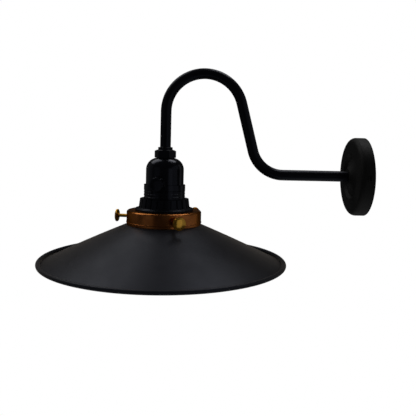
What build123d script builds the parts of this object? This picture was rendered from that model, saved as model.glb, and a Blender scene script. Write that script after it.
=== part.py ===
from build123d import *

import os
from math import acos, atan2, cos, degrees, radians, sin, tan

# Gooseneck wall sconce: steel tube arm, switched lampholder, clamped gallery and cone shade.
#
# Millimetres, +Z up. The wall is the plane Y = 0 and the light reaches out along -Y. The origin is
# the centre of the canopy's back, on the axis of the arm's level run. Azimuths about the lamp axis
# are measured from +X towards +Y.

os.makedirs("parts", exist_ok=True)

# ---------------------------------------------------------------- clearances
RUNNING_GAP = 0.05          # radial clearance of what turns, slides or screws
SEAT_GAP = 0.3              # clearance of pieces that only rest together

# ---------------------------------------------------------------- arm
REACH = 212.0               # wall to lamp axis
TUBE_RADIUS = 5.7
TUBE_BORE = 4.4
ARCH_RADIUS = 40.75         # centreline of the gooseneck's arch
ARCH_RISE = 65.3            # arch centre above the level run
DIAGONAL_TILT = 14.5        # degrees from plumb of the slanting run
ELBOW_RADIUS = 33.5         # centreline of the bend into the level run
THREAD_RADIUS = 4.95        # M10 x 1 nipples
NIPPLE_BORE = 3.5
NIPPLE_GRIP = 12.0          # nipple inside each end of the tube
WIRE_RADIUS = 1.1
WIRE_OFFSET = 1.3           # each wire's axis beside the tube's

# ---------------------------------------------------------------- canopy
CANOPY_RADIUS = 41.6
CANOPY_DEPTH = 14.0         # wall to the flat ring of the front
CANOPY_WALL = 1.2
CANOPY_EDGE = 5.2           # rounding of the outer edge
RING_RADIUS = 24.0          # inner edge of the flat ring
STEP_RUN = 2.2              # slope of the step inside the ring
RECESS_DEPTH = 2.8          # how deep that step is
BOSS_RADIUS = 8.8           # flat seat that the tube butts on
BOSS_RISE = 2.6             # that seat in front of the flat ring
DOME_BULGE = 1.2            # how far the middle bows out of a straight cone
WASHER_THICKNESS = 0.8
WASHER_RADIUS = 8.3
WASHER_TEETH = 12
WASHER_NOTCH = 1.1          # depth and width of the gaps between its teeth
LOCK_NUT_FLATS = 14.0
LOCK_NUT_HEIGHT = 3.0
LOCK_NUT_CHAMFER = 0.5
NIPPLE_TAIL = 2.2           # thread left past the lock nut

# ---------------------------------------------------------------- wall bracket
BRACKET_WALL = 1.5
BRACKET_WIDTH = 20.0
TAB_WIDTH = 16.0            # upright tab behind the terminal block
LUG_HEIGHT = 9.0            # folded ends that take the side screws
SLOT_SPACING = 50.0
SLOT_RADIUS = 2.25
SLOT_LENGTH = 11.0
CABLE_HOLE = 6.0
SIDE_SCREW = 1.45           # M3
SIDE_SCREW_LIFT = 5.5       # off the wall
SIDE_SCREW_LENGTH = 5.6
SIDE_HEAD_RADIUS = 2.7
SIDE_HEAD_HEIGHT = 1.0      # low domed head
EARTH_SCREW = 1.95          # M4
EARTH_X = 13.0
EARTH_DROP = 3.0            # earth screw below the level run
EARTH_HEAD_RADIUS = 3.3
EARTH_HEAD_HEIGHT = 2.2
EARTH_HEAD_EDGE = 0.7
EARTH_RING = 3.8
EARTH_BARREL = 1.7
EARTH_BARREL_LENGTH = 4.4
EARTH_BARREL_GAP = 0.9      # screw head to the barrel
EARTH_WIRE_GRIP = 3.6       # wire inside the barrel
EARTH_BEND = 2.0
EARTH_RISE = 1.2            # straight wire above the barrel
EARTH_ENTRY = 1.6           # straight wire below the block
LUG_PLATE = 0.8

# ---------------------------------------------------------------- terminal block
POLES = 3
POLE_SPACING = 7.0
BLOCK_MARGIN = 0.8          # block past the outer poles' cells
BLOCK_CORNER = 0.8
BLOCK_HEIGHT = 11.0
BLOCK_DEPTH = 7.0
BLOCK_LIFT = 13.0           # level run's axis to the block
BARREL_RADIUS = 1.9
BARREL_BORE = 1.2
CLAMP_SCREW_RADIUS = 0.9
CLAMP_HEAD_RADIUS = 1.5
CLAMP_HEAD_HEIGHT = 1.2
CLAMP_INSET = 3.0           # clamp screws from the block's ends
WIRE_GRIP = 4.5             # wire inside the block
WIRE_DROP = 4.0             # straight wire below the block
TAIL_BEND = 3.6             # bend of the wires in the canopy

# ---------------------------------------------------------------- lampholder cap and nut
CAP_RADIUS = 20.05
CAP_TOP = 15.9              # crown above the level run
CAP_SHOULDER = 12.5         # radius of the domed shoulder
CAP_WALL = 2.2
CAP_HEIGHT = 28.2
CAP_BOSS_RADIUS = 9.0       # thick threaded middle under the crown
CAP_BOSS_DEPTH = 6.5
NIPPLE_PROUD = 0.5          # nipple below the threaded middle
NUT_FLATS = 20.0
NUT_HEIGHT = 8.5
NUT_CHAMFER = 1.3
NUT_TURN = 24.0             # degrees that its flats are turned
NUT_COLLAR_RADIUS = 7.7
NUT_COLLAR_HEIGHT = 2.9
NUT_COLLAR_EDGE = 0.8
TUBE_IN_NUT = 4.5           # tube's end inside the collar

# ---------------------------------------------------------------- lampholder body
BODY_RADIUS = 21.6          # outside of its screwed skirt
BODY_HEIGHT = 46.5
BODY_WALL = 2.3
BAND_RADIUS = 21.9          # plain band at the top
BAND_HEIGHT = 5.6
SPIGOT_HEIGHT = 6.5         # inside the cap
SPIGOT_WALL = 2.0
SHELF_BORE = 14.5           # shelf that the insulator butts on
SHELF_HEIGHT = 5.2
JOINT_GAP = 0.1             # cap to body

# ---------------------------------------------------------------- socket
SHELL_BORE = 13.35          # E27 screw shell
SHELL_WALL = 0.4
SHELL_LENGTH = 24.0
SHELL_RECESS = 1.5          # shell's mouth inside the insulator's
THROAT_RADIUS = 12.6        # narrower top of the shell, round the centre contact
THROAT_HEIGHT = 4.4
SHELL_TAB_WIDTH = 6.0
INSULATOR_BASE = 6.0
INSULATOR_RECESS = 1.2      # insulator's mouth inside the body's
TERMINAL_SCREW = 1.45       # M3
TERMINAL_HEAD_RADIUS = 2.8
TERMINAL_HEAD_HEIGHT = 1.9
TERMINAL_TAIL = 1.8
NEUTRAL_OFFSET = 10.4       # neutral terminal from the lamp axis, towards the wall
FIXING_AZIMUTHS = (140.0, -40.0)
FIXING_DISTANCE = 16.5
FIXING_RADIUS = 1.2
FIXING_HEAD_RADIUS = 2.1
FIXING_HEAD_HEIGHT = 1.6
FIXING_BITE = 3.2           # into the body's shelf
POST_RADIUS = 1.2
POST_FOOT_RADIUS = 2.1
POST_FOOT_HEIGHT = 1.0
LEAF_WIDTH = 5.0
LEAF_THICKNESS = 0.5
LEAF_TAIL = 1.8             # leaf behind its root
LEAF_OVERRUN = 3.0          # leaf past the lamp axis
LEAF_SAG = 2.2              # tip below the root
HOLDER_BEND = 5.0           # bends of the wires in the cap
HOLDER_STRAIGHT = 2.0       # wire below the nipple before its bend
HOLDER_SPREAD = 8.0         # height over which the wires part

# ---------------------------------------------------------------- rotary switch
SWITCH_AZIMUTH = -16.0
SWITCH_DROP = 27.2          # cap's crown to the switch axis
SWITCH_BUSH_RADIUS = 4.6
RING_NUT_RADIUS = 6.2
RING_NUT_HEIGHT = 2.0
KNOB_RADIUS = 7.5
KNOB_LENGTH = 4.7
KNOB_GAP = 0.25             # knob to the ring nut
KNOB_FLUTES = 18
KNOB_FLUTE_RADIUS = 0.55
KNOB_FLUTE_OUT = 0.18       # flutes' axes outside the knob's surface
KNOB_EDGE = 0.7
KNOB_DISH = 0.8
SPINDLE_RADIUS = 1.9
SPINDLE_IN_KNOB = 2.6
HOUSING_RADIUS = 7.4
HOUSING_FRONT = 13.6        # lamp axis to the housing's front
HOUSING_LENGTH = 13.0
HOUSING_NOSE = 4.6          # wall in front of the rotor's chamber
ROTOR_RADIUS = 4.8
ROTOR_LENGTH = 6.0
ROTOR_PLAY = 0.5            # rotor to the nose
BRIDGE_WIDTH = 2.2
BRIDGE_THICKNESS = 1.2
COVER_THICKNESS = 1.5
CONTACT_LENGTH = 3.4        # along the switch axis
CONTACT_THICKNESS = 1.5
CONTACT_REACH = 10.0        # outer end from the switch axis
CONTACT_GAP = 0.15          # contact to the rotor
CONTACT_TERMINAL = 8.9      # where the post and the live wire meet it

# ---------------------------------------------------------------- ribbed ring, gallery, clamp ring
RIBBED_DROP = 14.9          # body's top edge to the ribbed ring
RIBBED_HEIGHT = 8.8
RIBBED_TOP_RADIUS = 25.8
RIBBED_LOW_RADIUS = 26.95
RIB_COUNT = 24
RIB_GROOVE_WIDTH = 1.4
RIB_GROOVE_DEPTH = 1.3
RIB_PHASE = 2.5             # degrees from +X of the first groove
FLARE = 1.3                 # hollow between the ribs and the flange
FLANGE_RADIUS = 30.8
FLANGE_THICKNESS = 2.4
FLANGE_EDGE = 0.5
GALLERY_RADIUS = 38.8
GALLERY_HEIGHT = 14.7
GALLERY_WALL = 0.9
GALLERY_EDGE = 3.2          # rounding of the top edge
GALLERY_BEAD = 0.45         # raised line above the lower edge
GALLERY_BEAD_LIFT = 2.2
CLAMP_RING_RADIUS = 27.0
CLAMP_RING_HEIGHT = 5.5
CLAMP_NOTCHES = 6
CLAMP_NOTCH_RADIUS = 1.8

# ---------------------------------------------------------------- thumbscrews
THUMB_AZIMUTHS = {"left": -100.0, "front": 20.0, "rear": 140.0}
THUMB_DROP = 7.6            # gallery's top to the screws
THUMB_SHANK = 1.6
THUMB_POINT = 0.5           # chamfer of the tip
THUMB_HEAD_RADIUS = 6.6
THUMB_HEAD_THICKNESS = 2.6
THUMB_HEAD_CROWN = 0.8      # how far the face is domed
THUMB_HEAD_EDGE = 0.5
THUMB_STAND_OFF = 14.6      # gallery's wall to the crown of the head
BUSH_FLANGE = 2.9           # riveted nut that each screw runs in
BUSH_RADIUS = 2.3
BUSH_LENGTH = 2.0           # inside the gallery

# ---------------------------------------------------------------- shade
SHADE_RADIUS = 130.0        # outside of the rolled rim
SHADE_DROP = 38.05          # shoulder to the middle of the rolled rim
SHADE_HOLLOW = 1.5          # how far the cone dips below a straight one
SHADE_WALL = 0.9
RIM_BEAD = 1.7              # radius of the rolled rim
NECK_CLEARANCE = 3.1        # neck to the inside of the gallery
NECK_BEAD = 0.75            # radius of the neck's turned edge
SHOULDER_GAP = 0.2          # gallery's lower edge to the level shoulder under it
SHOULDER_MARGIN = 0.3       # shoulder past the gallery's wall
NECK_GAP = 1.6              # neck to the gallery's top plate

# ---------------------------------------------------------------- derived places
LAMP_AXIS = Axis((0, -REACH, 0), (0, 0, 1))
LAMP_PLANE = Plane.XZ.offset(REACH)
THREAD_HOLE = THREAD_RADIUS + RUNNING_GAP

BOSS_Y = -(CANOPY_DEPTH + BOSS_RISE)
WASHER_Y = BOSS_Y + CANOPY_WALL
LOCK_NUT_Y = WASHER_Y + WASHER_THICKNESS
NIPPLE_END_Y = LOCK_NUT_Y + LOCK_NUT_HEIGHT + NIPPLE_TAIL
BLOCK_Y = -(BRACKET_WALL + BLOCK_DEPTH)
POLE_Y = -(BRACKET_WALL + BLOCK_DEPTH / 2)
POLE_XS = [(i - (POLES - 1) / 2) * POLE_SPACING for i in range(POLES)]
BLOCK_WIDTH = POLES * POLE_SPACING + 2 * BLOCK_MARGIN

NUT_TOP = CAP_TOP + NUT_HEIGHT
TUBE_END = NUT_TOP + NUT_COLLAR_HEIGHT - TUBE_IN_NUT
CAP_LOW = CAP_TOP - CAP_HEIGHT
CAP_BORE = CAP_RADIUS - CAP_WALL
BODY_TOP = CAP_LOW - JOINT_GAP
BODY_LOW = BODY_TOP - BODY_HEIGHT
BODY_BORE = BODY_RADIUS - BODY_WALL
SPIGOT_RADIUS = CAP_BORE - RUNNING_GAP
SPIGOT_BORE = SPIGOT_RADIUS - SPIGOT_WALL

INSULATOR_RADIUS = BODY_BORE - SEAT_GAP
INSULATOR_LOW = BODY_LOW + INSULATOR_RECESS
SHELL_RADIUS = SHELL_BORE + SHELL_WALL
SHELL_LOW = INSULATOR_LOW + SHELL_RECESS
SHELL_TOP = SHELL_LOW + SHELL_LENGTH
THROAT_LOW = SHELL_TOP - THROAT_HEIGHT
THROAT_SHOULDER = THROAT_LOW + SHELL_BORE - THROAT_RADIUS
INSULATOR_TOP = SHELL_TOP + INSULATOR_BASE
SHELF_TOP = INSULATOR_TOP + SHELF_HEIGHT

SWITCH_Z = CAP_TOP - SWITCH_DROP
RING_NUT_BACK = CAP_RADIUS + SEAT_GAP
RING_NUT_FRONT = RING_NUT_BACK + RING_NUT_HEIGHT
KNOB_BACK = RING_NUT_FRONT + KNOB_GAP
KNOB_FACE = KNOB_BACK + KNOB_LENGTH
SPINDLE_HOLE = SPINDLE_RADIUS + RUNNING_GAP
HOUSING_BACK = HOUSING_FRONT - HOUSING_LENGTH
CHAMBER_FRONT = HOUSING_FRONT - HOUSING_NOSE
ROTOR_FRONT = CHAMBER_FRONT - ROTOR_PLAY
ROTOR_BACK = ROTOR_FRONT - ROTOR_LENGTH
CONTACT_MIDDLE = ROTOR_BACK + CONTACT_LENGTH / 2 + RUNNING_GAP
POST_DISTANCE = (CONTACT_MIDDLE**2 + CONTACT_TERMINAL**2) ** 0.5
POST_AZIMUTH = SWITCH_AZIMUTH + degrees(atan2(CONTACT_TERMINAL, CONTACT_MIDDLE))

RIBBED_TOP = BODY_TOP - RIBBED_DROP
RIBBED_LOW = RIBBED_TOP - RIBBED_HEIGHT
FLANGE_TOP = RIBBED_LOW - FLARE
GALLERY_TOP = FLANGE_TOP - FLANGE_THICKNESS
GALLERY_LOW = GALLERY_TOP - GALLERY_HEIGHT
GALLERY_BORE = GALLERY_RADIUS - GALLERY_WALL
PLATE_LOW = GALLERY_TOP - GALLERY_WALL
THUMB_Z = GALLERY_TOP - THUMB_DROP
SKIRT_HOLE = BODY_RADIUS + RUNNING_GAP

THUMB_REACH = GALLERY_RADIUS + THUMB_STAND_OFF

NECK_RADIUS = GALLERY_BORE - NECK_CLEARANCE
NECK_BORE = NECK_RADIUS - SHADE_WALL
NECK_TOP = PLATE_LOW - NECK_GAP
SHOULDER_RADIUS = GALLERY_RADIUS + SHOULDER_MARGIN
SHOULDER_TOP = GALLERY_LOW - SHOULDER_GAP
SHOULDER_LOW = SHOULDER_TOP - SHADE_WALL
BEAD_CENTRE = SHADE_RADIUS - RIM_BEAD
RIM_TOP = SHOULDER_TOP - SHADE_DROP


def radial(azimuth):
    """Unit direction away from the lamp axis."""
    return Vector(cos(radians(azimuth)), sin(radians(azimuth)), 0)


def radial_point(azimuth, distance, height):
    """Point at a distance from the lamp axis."""
    return Vector(0, -REACH, height) + radial(azimuth) * distance


def facing_plane(azimuth, distance, height):
    """Plane that looks outwards from the lamp axis, with its y upwards."""
    out = radial(azimuth)
    side = Vector(-out.Y, out.X, 0)
    return Plane(origin=radial_point(azimuth, distance, height), x_dir=side, z_dir=out)


def profile_plane(azimuth, height):
    """Upright plane through the lamp axis, x outwards and y upwards."""
    out = radial(azimuth)
    return Plane(origin=(0, -REACH, height), x_dir=out, z_dir=(out.Y, -out.X, 0))


def radial_axis(azimuth, height):
    """Axis that runs outwards from the lamp axis."""
    return Axis((0, -REACH, height), tuple(radial(azimuth)))


def level(height):
    """Level plane whose origin is on the lamp axis."""
    return Plane(origin=(0, -REACH, height))


def save(piece, name):
    """Labels one finished piece and writes it."""
    piece.label = name
    export_step(piece, "parts/" + name + ".step")


# ---------------------------------------------------------------- canopy
EDGE_Y = -(CANOPY_DEPTH - CANOPY_EDGE)
RECESS_Y = -(CANOPY_DEPTH - RECESS_DEPTH)
RECESS_RADIUS = RING_RADIUS - STEP_RUN
INNER_RADIUS = CANOPY_RADIUS - CANOPY_WALL
FLAT_RADIUS = CANOPY_RADIUS - CANOPY_EDGE
INNER_FLAT_Y = -CANOPY_DEPTH + CANOPY_WALL

with BuildPart() as canopy:
    with BuildSketch(Plane.XY):
        with BuildLine():
            Line((CANOPY_RADIUS, 0), (CANOPY_RADIUS, EDGE_Y))
            CenterArc((FLAT_RADIUS, EDGE_Y), CANOPY_EDGE, 0, -90)
            Polyline((FLAT_RADIUS, -CANOPY_DEPTH), (RING_RADIUS, -CANOPY_DEPTH),
                     (RECESS_RADIUS, RECESS_Y))
            SagittaArc((RECESS_RADIUS, RECESS_Y), (BOSS_RADIUS, BOSS_Y), -DOME_BULGE)
            Polyline((BOSS_RADIUS, BOSS_Y), (THREAD_HOLE, BOSS_Y), (THREAD_HOLE, WASHER_Y),
                     (BOSS_RADIUS, WASHER_Y))
            SagittaArc((BOSS_RADIUS, WASHER_Y), (RECESS_RADIUS, RECESS_Y + CANOPY_WALL), DOME_BULGE)
            Polyline((RECESS_RADIUS, RECESS_Y + CANOPY_WALL),
                     (RING_RADIUS + CANOPY_WALL, INNER_FLAT_Y), (FLAT_RADIUS, INNER_FLAT_Y))
            CenterArc((FLAT_RADIUS, EDGE_Y), CANOPY_EDGE - CANOPY_WALL, -90, 90)
            Polyline((INNER_RADIUS, EDGE_Y), (INNER_RADIUS, 0), (CANOPY_RADIUS, 0))
        make_face()
    revolve(axis=Axis.Y)
    with BuildSketch(Plane.YZ):
        with Locations((-SIDE_SCREW_LIFT, 0)):
            Circle(SIDE_SCREW + RUNNING_GAP)
    extrude(amount=CANOPY_RADIUS, both=True, mode=Mode.SUBTRACT)
save(canopy.part, "canopy")

# ---------------------------------------------------------------- wall bracket and its screws
LUG_X = ((INNER_RADIUS - SEAT_GAP) ** 2 - (BRACKET_WIDTH / 2) ** 2) ** 0.5
BLOCK_SCREW_X = POLE_SPACING / 2
BLOCK_SCREW_Z = BLOCK_LIFT + BLOCK_HEIGHT / 2

with BuildPart() as wall_bracket:
    with BuildSketch(Plane.XY):
        with Locations((0, -LUG_HEIGHT / 2)):
            Rectangle(2 * LUG_X, LUG_HEIGHT)
        with Locations((0, -BRACKET_WALL - LUG_HEIGHT / 2)):
            Rectangle(2 * (LUG_X - BRACKET_WALL), LUG_HEIGHT, mode=Mode.SUBTRACT)
    extrude(amount=BRACKET_WIDTH / 2, both=True)
    fillet(wall_bracket.edges().filter_by(Axis.Z).group_by(Axis.Y)[-1], BRACKET_WALL)
    with BuildSketch(Plane.XZ):
        with Locations((0, (BLOCK_LIFT + BLOCK_HEIGHT) / 2)):
            Rectangle(TAB_WIDTH, BLOCK_LIFT + BLOCK_HEIGHT)
    extrude(amount=BRACKET_WALL)
    with BuildSketch(Plane.XZ):
        Circle(CABLE_HOLE)
        with GridLocations(SLOT_SPACING, 0, 2, 1):
            SlotOverall(SLOT_LENGTH, 2 * SLOT_RADIUS)
        with Locations((EARTH_X, -EARTH_DROP)):
            Circle(EARTH_SCREW + RUNNING_GAP)
        with Locations((BLOCK_SCREW_X, BLOCK_SCREW_Z)):
            Circle(CLAMP_SCREW_RADIUS + RUNNING_GAP)
    extrude(amount=BRACKET_WALL, mode=Mode.SUBTRACT)
    with BuildSketch(Plane.YZ):
        with Locations((-SIDE_SCREW_LIFT, 0)):
            Circle(SIDE_SCREW + RUNNING_GAP)
    extrude(amount=LUG_X, both=True, mode=Mode.SUBTRACT)
save(wall_bracket.part, "wall_bracket")

SCREW_TIP_X = CANOPY_RADIUS - SIDE_SCREW_LENGTH
SCREW_CROWN_X = CANOPY_RADIUS + SIDE_HEAD_HEIGHT

with BuildPart() as bracket_side_screws:
    with BuildSketch(Plane((0, -SIDE_SCREW_LIFT, 0))):
        with BuildLine():
            Polyline((SCREW_CROWN_X, 0), (SCREW_TIP_X, 0), (SCREW_TIP_X, SIDE_SCREW),
                     (CANOPY_RADIUS, SIDE_SCREW), (CANOPY_RADIUS, SIDE_HEAD_RADIUS))
            TangentArc((SCREW_CROWN_X, 0), (CANOPY_RADIUS, SIDE_HEAD_RADIUS), tangent=(0, 1))
        make_face()
    revolve(axis=Axis((0, -SIDE_SCREW_LIFT, 0), (1, 0, 0)))
    mirror(about=Plane.YZ)
save(bracket_side_screws.part, "bracket_side_screws")

# ---------------------------------------------------------------- arm
ELBOW_START_Z = ELBOW_RADIUS * (1 - sin(radians(DIAGONAL_TILT)))
ARCH_Y = -REACH + ARCH_RADIUS
ARCH_END = (ARCH_Y + ARCH_RADIUS * cos(radians(DIAGONAL_TILT)),
            ARCH_RISE + ARCH_RADIUS * sin(radians(DIAGONAL_TILT)))
DIAGONAL_FALL = ARCH_END[1] - ELBOW_START_Z
ELBOW_START = (ARCH_END[0] + DIAGONAL_FALL * tan(radians(DIAGONAL_TILT)), ELBOW_START_Z)
ELBOW_Y = ELBOW_START[0] + ELBOW_RADIUS * cos(radians(DIAGONAL_TILT))


def gooseneck(wall_y, lamp_z):
    """Centreline from the wall to the lamp, drawn in the upright plane of the arm."""
    Line((wall_y, 0), (ELBOW_Y, 0))
    CenterArc((ELBOW_Y, ELBOW_RADIUS), ELBOW_RADIUS, -90, -(90 - DIAGONAL_TILT))
    Line(ELBOW_START, ARCH_END)
    CenterArc((ARCH_Y, ARCH_RISE), ARCH_RADIUS, DIAGONAL_TILT, 180 - DIAGONAL_TILT)
    Line((-REACH, ARCH_RISE), (-REACH, lamp_z))


with BuildPart() as arm_tube:
    with BuildLine(Plane.YZ):
        gooseneck(BOSS_Y, TUBE_END)
    with BuildSketch(Plane.XZ.offset(-BOSS_Y)):
        Circle(TUBE_RADIUS)
        Circle(TUBE_BORE, mode=Mode.SUBTRACT)
    sweep()
    with BuildSketch(Plane.XZ.offset(-BOSS_Y)):
        Circle(THREAD_HOLE)
    extrude(amount=NIPPLE_GRIP, mode=Mode.SUBTRACT)
    with BuildSketch(level(TUBE_END)):
        Circle(THREAD_HOLE)
    extrude(amount=NIPPLE_GRIP, mode=Mode.SUBTRACT)
save(arm_tube.part, "arm_tube")

with BuildPart() as wall_nipple:
    with BuildSketch(Plane.XZ.offset(-NIPPLE_END_Y)):
        Circle(THREAD_RADIUS)
        Circle(NIPPLE_BORE, mode=Mode.SUBTRACT)
    extrude(amount=NIPPLE_END_Y - BOSS_Y + NIPPLE_GRIP - SEAT_GAP)
save(wall_nipple.part, "wall_nipple")

with BuildPart() as arm_star_washer:
    with BuildSketch(Plane.XZ.offset(-LOCK_NUT_Y)):
        Circle(WASHER_RADIUS)
        Circle(THREAD_HOLE, mode=Mode.SUBTRACT)
        with PolarLocations(WASHER_RADIUS, WASHER_TEETH):
            Rectangle(2 * WASHER_NOTCH, WASHER_NOTCH, mode=Mode.SUBTRACT)
    extrude(amount=WASHER_THICKNESS)
save(arm_star_washer.part, "arm_star_washer")

with BuildPart() as arm_lock_nut:
    with BuildSketch(Plane.XZ.offset(-LOCK_NUT_Y - LOCK_NUT_HEIGHT)):
        RegularPolygon(LOCK_NUT_FLATS / 2, 6, major_radius=False)
        Circle(THREAD_HOLE, mode=Mode.SUBTRACT)
    extrude(amount=LOCK_NUT_HEIGHT)
    chamfer(arm_lock_nut.edges().group_by(Axis.Y)[-1].filter_by(GeomType.LINE), LOCK_NUT_CHAMFER)
save(arm_lock_nut.part, "arm_lock_nut")

# ---------------------------------------------------------------- terminal block in the canopy
CLAMP_ZS = (BLOCK_LIFT + CLAMP_INSET, BLOCK_LIFT + BLOCK_HEIGHT - CLAMP_INSET)
CLAMP_HEAD_Y = BLOCK_Y + SEAT_GAP
CLAMP_TIP_Y = POLE_Y - WIRE_RADIUS - RUNNING_GAP

with BuildPart() as terminal_block:
    with BuildSketch(Plane.XY.offset(BLOCK_LIFT)):
        with Locations((0, POLE_Y)):
            RectangleRounded(BLOCK_WIDTH, BLOCK_DEPTH, BLOCK_CORNER)
        with Locations([(x, POLE_Y) for x in POLE_XS]):
            Circle(BARREL_RADIUS + RUNNING_GAP, mode=Mode.SUBTRACT)
    extrude(amount=BLOCK_HEIGHT)
    with BuildSketch(Plane.XZ.offset(-POLE_Y)):
        with Locations([(x, z) for x in POLE_XS for z in CLAMP_ZS]):
            Circle(CLAMP_HEAD_RADIUS + RUNNING_GAP)
    extrude(amount=BLOCK_DEPTH, mode=Mode.SUBTRACT)
    with BuildSketch(Plane.XZ):
        with Locations((BLOCK_SCREW_X, BLOCK_SCREW_Z)):
            Circle(CLAMP_SCREW_RADIUS + RUNNING_GAP)
    extrude(amount=-BLOCK_Y, mode=Mode.SUBTRACT)
save(terminal_block.part, "terminal_block")

with BuildPart() as terminal_barrels:
    with BuildSketch(Plane.XY.offset(BLOCK_LIFT)):
        with Locations([(x, POLE_Y) for x in POLE_XS]):
            Circle(BARREL_RADIUS)
            Circle(BARREL_BORE, mode=Mode.SUBTRACT)
    extrude(amount=BLOCK_HEIGHT)
    with BuildSketch(Plane.XZ.offset(-POLE_Y)):
        with Locations([(x, z) for x in POLE_XS for z in CLAMP_ZS]):
            Circle(CLAMP_SCREW_RADIUS + RUNNING_GAP)
    extrude(amount=BARREL_RADIUS, mode=Mode.SUBTRACT)
save(terminal_barrels.part, "terminal_barrels")

with BuildPart() as terminal_screws:
    with BuildSketch(Plane.XZ.offset(-CLAMP_TIP_Y)):
        with Locations([(x, z) for x in POLE_XS for z in CLAMP_ZS]):
            Circle(CLAMP_SCREW_RADIUS)
    extrude(amount=CLAMP_TIP_Y - CLAMP_HEAD_Y)
    with BuildSketch(Plane.XZ.offset(-CLAMP_HEAD_Y - CLAMP_HEAD_HEIGHT)):
        with Locations([(x, z) for x in POLE_XS for z in CLAMP_ZS]):
            Circle(CLAMP_HEAD_RADIUS)
    extrude(amount=CLAMP_HEAD_HEIGHT)
save(terminal_screws.part, "terminal_screws")

with BuildPart() as terminal_block_screw:
    with BuildSketch(Plane.XZ.offset(RUNNING_GAP)):
        with Locations((BLOCK_SCREW_X, BLOCK_SCREW_Z)):
            Circle(CLAMP_SCREW_RADIUS)
    extrude(amount=-BLOCK_Y - RUNNING_GAP)
    with BuildSketch(Plane.XZ.offset(-BLOCK_Y)):
        with Locations((BLOCK_SCREW_X, BLOCK_SCREW_Z)):
            Circle(CLAMP_HEAD_RADIUS)
    extrude(amount=CLAMP_HEAD_HEIGHT)
save(terminal_block_screw.part, "terminal_block_screw")

# ---------------------------------------------------------------- earth connection
LUG_Y = -(BRACKET_WALL + LUG_PLATE)
EARTH_WIRE_Y = -(BRACKET_WALL + EARTH_BARREL)
EARTH_BARREL_LOW = EARTH_HEAD_RADIUS - EARTH_DROP + EARTH_BARREL_GAP
EARTH_BARREL_TOP = EARTH_BARREL_LOW + EARTH_BARREL_LENGTH
EARTH_WIRE_LOW = EARTH_BARREL_TOP - EARTH_WIRE_GRIP

with BuildPart() as earth_screw:
    with BuildSketch(Plane.XZ.offset(RUNNING_GAP)):
        with Locations((EARTH_X, -EARTH_DROP)):
            Circle(EARTH_SCREW)
    extrude(amount=-LUG_Y - RUNNING_GAP)
    with BuildSketch(Plane.XZ.offset(-LUG_Y)):
        with Locations((EARTH_X, -EARTH_DROP)):
            Circle(EARTH_HEAD_RADIUS)
    extrude(amount=EARTH_HEAD_HEIGHT)
    fillet(earth_screw.edges().group_by(Axis.Y)[0], EARTH_HEAD_EDGE)
save(earth_screw.part, "earth_screw")

with BuildPart() as earth_lug:
    with BuildSketch(Plane.XZ.offset(BRACKET_WALL)):
        with Locations((EARTH_X, -EARTH_DROP)):
            Circle(EARTH_RING)
        with Locations((EARTH_X, (EARTH_WIRE_LOW - EARTH_DROP) / 2)):
            Rectangle(2 * EARTH_BARREL, EARTH_WIRE_LOW + EARTH_DROP)
        with Locations((EARTH_X, -EARTH_DROP)):
            Circle(EARTH_SCREW + RUNNING_GAP, mode=Mode.SUBTRACT)
    extrude(amount=LUG_PLATE)
    with BuildSketch(Plane.XY.offset(EARTH_BARREL_LOW)):
        with Locations((EARTH_X, EARTH_WIRE_Y)):
            Circle(EARTH_BARREL)
    extrude(amount=EARTH_BARREL_LENGTH)
    with BuildSketch(Plane.XY.offset(EARTH_BARREL_LOW)):
        with Locations((EARTH_X, EARTH_WIRE_Y)):
            Circle(WIRE_RADIUS + RUNNING_GAP)
    extrude(amount=EARTH_BARREL_LENGTH, mode=Mode.SUBTRACT)
save(earth_lug.part, "earth_lug")

with BuildPart() as earth_wire:
    with BuildLine():
        FilletPolyline((EARTH_X, EARTH_WIRE_Y, EARTH_WIRE_LOW),
                       (EARTH_X, EARTH_WIRE_Y, EARTH_BARREL_TOP + EARTH_RISE),
                       (POLE_XS[-1], POLE_Y, BLOCK_LIFT - EARTH_ENTRY),
                       (POLE_XS[-1], POLE_Y, BLOCK_LIFT + WIRE_GRIP),
                       radius=EARTH_BEND)
    with BuildSketch(Plane((EARTH_X, EARTH_WIRE_Y, EARTH_WIRE_LOW))):
        Circle(WIRE_RADIUS)
    sweep()
save(earth_wire.part, "earth_wire")

# ---------------------------------------------------------------- wires through the arm
NIPPLE_LOW = CAP_TOP - CAP_BOSS_DEPTH - NIPPLE_PROUD
BEND_Z = NIPPLE_LOW - HOLDER_STRAIGHT
PIGTAIL_Z = NIPPLE_LOW + HOLDER_BEND
LIVE_END_Y = (-REACH + CONTACT_MIDDLE * sin(radians(SWITCH_AZIMUTH))
              - CONTACT_TERMINAL * cos(radians(SWITCH_AZIMUTH)))
LIVE_END_Z = SWITCH_Z + CONTACT_THICKNESS / 2
NEUTRAL_END_Y = -REACH + NEUTRAL_OFFSET
NEUTRAL_END_Z = INSULATOR_TOP + TERMINAL_HEAD_HEIGHT

for wire_name, side, pole_x, end_y, end_z in (
        ("live_wire", WIRE_OFFSET, POLE_XS[1], LIVE_END_Y, LIVE_END_Z),
        ("neutral_wire", -WIRE_OFFSET, POLE_XS[0], NEUTRAL_END_Y, NEUTRAL_END_Z)):
    with BuildPart() as lamp_wire:
        with BuildLine():
            FilletPolyline((pole_x, POLE_Y, BLOCK_LIFT + WIRE_GRIP),
                           (pole_x, POLE_Y, BLOCK_LIFT - WIRE_DROP),
                           (side, POLE_Y, 0),
                           (side, BOSS_Y, 0),
                           radius=TAIL_BEND)
        with BuildLine(Plane.YZ.offset(side)):
            gooseneck(BOSS_Y, PIGTAIL_Z)
            FilletPolyline((-REACH, PIGTAIL_Z), (-REACH, BEND_Z),
                           (end_y, BEND_Z - HOLDER_SPREAD), (end_y, end_z), radius=HOLDER_BEND)
        with BuildSketch(Plane((pole_x, POLE_Y, BLOCK_LIFT + WIRE_GRIP))):
            Circle(WIRE_RADIUS)
        sweep()
    save(lamp_wire.part, wire_name)

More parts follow.
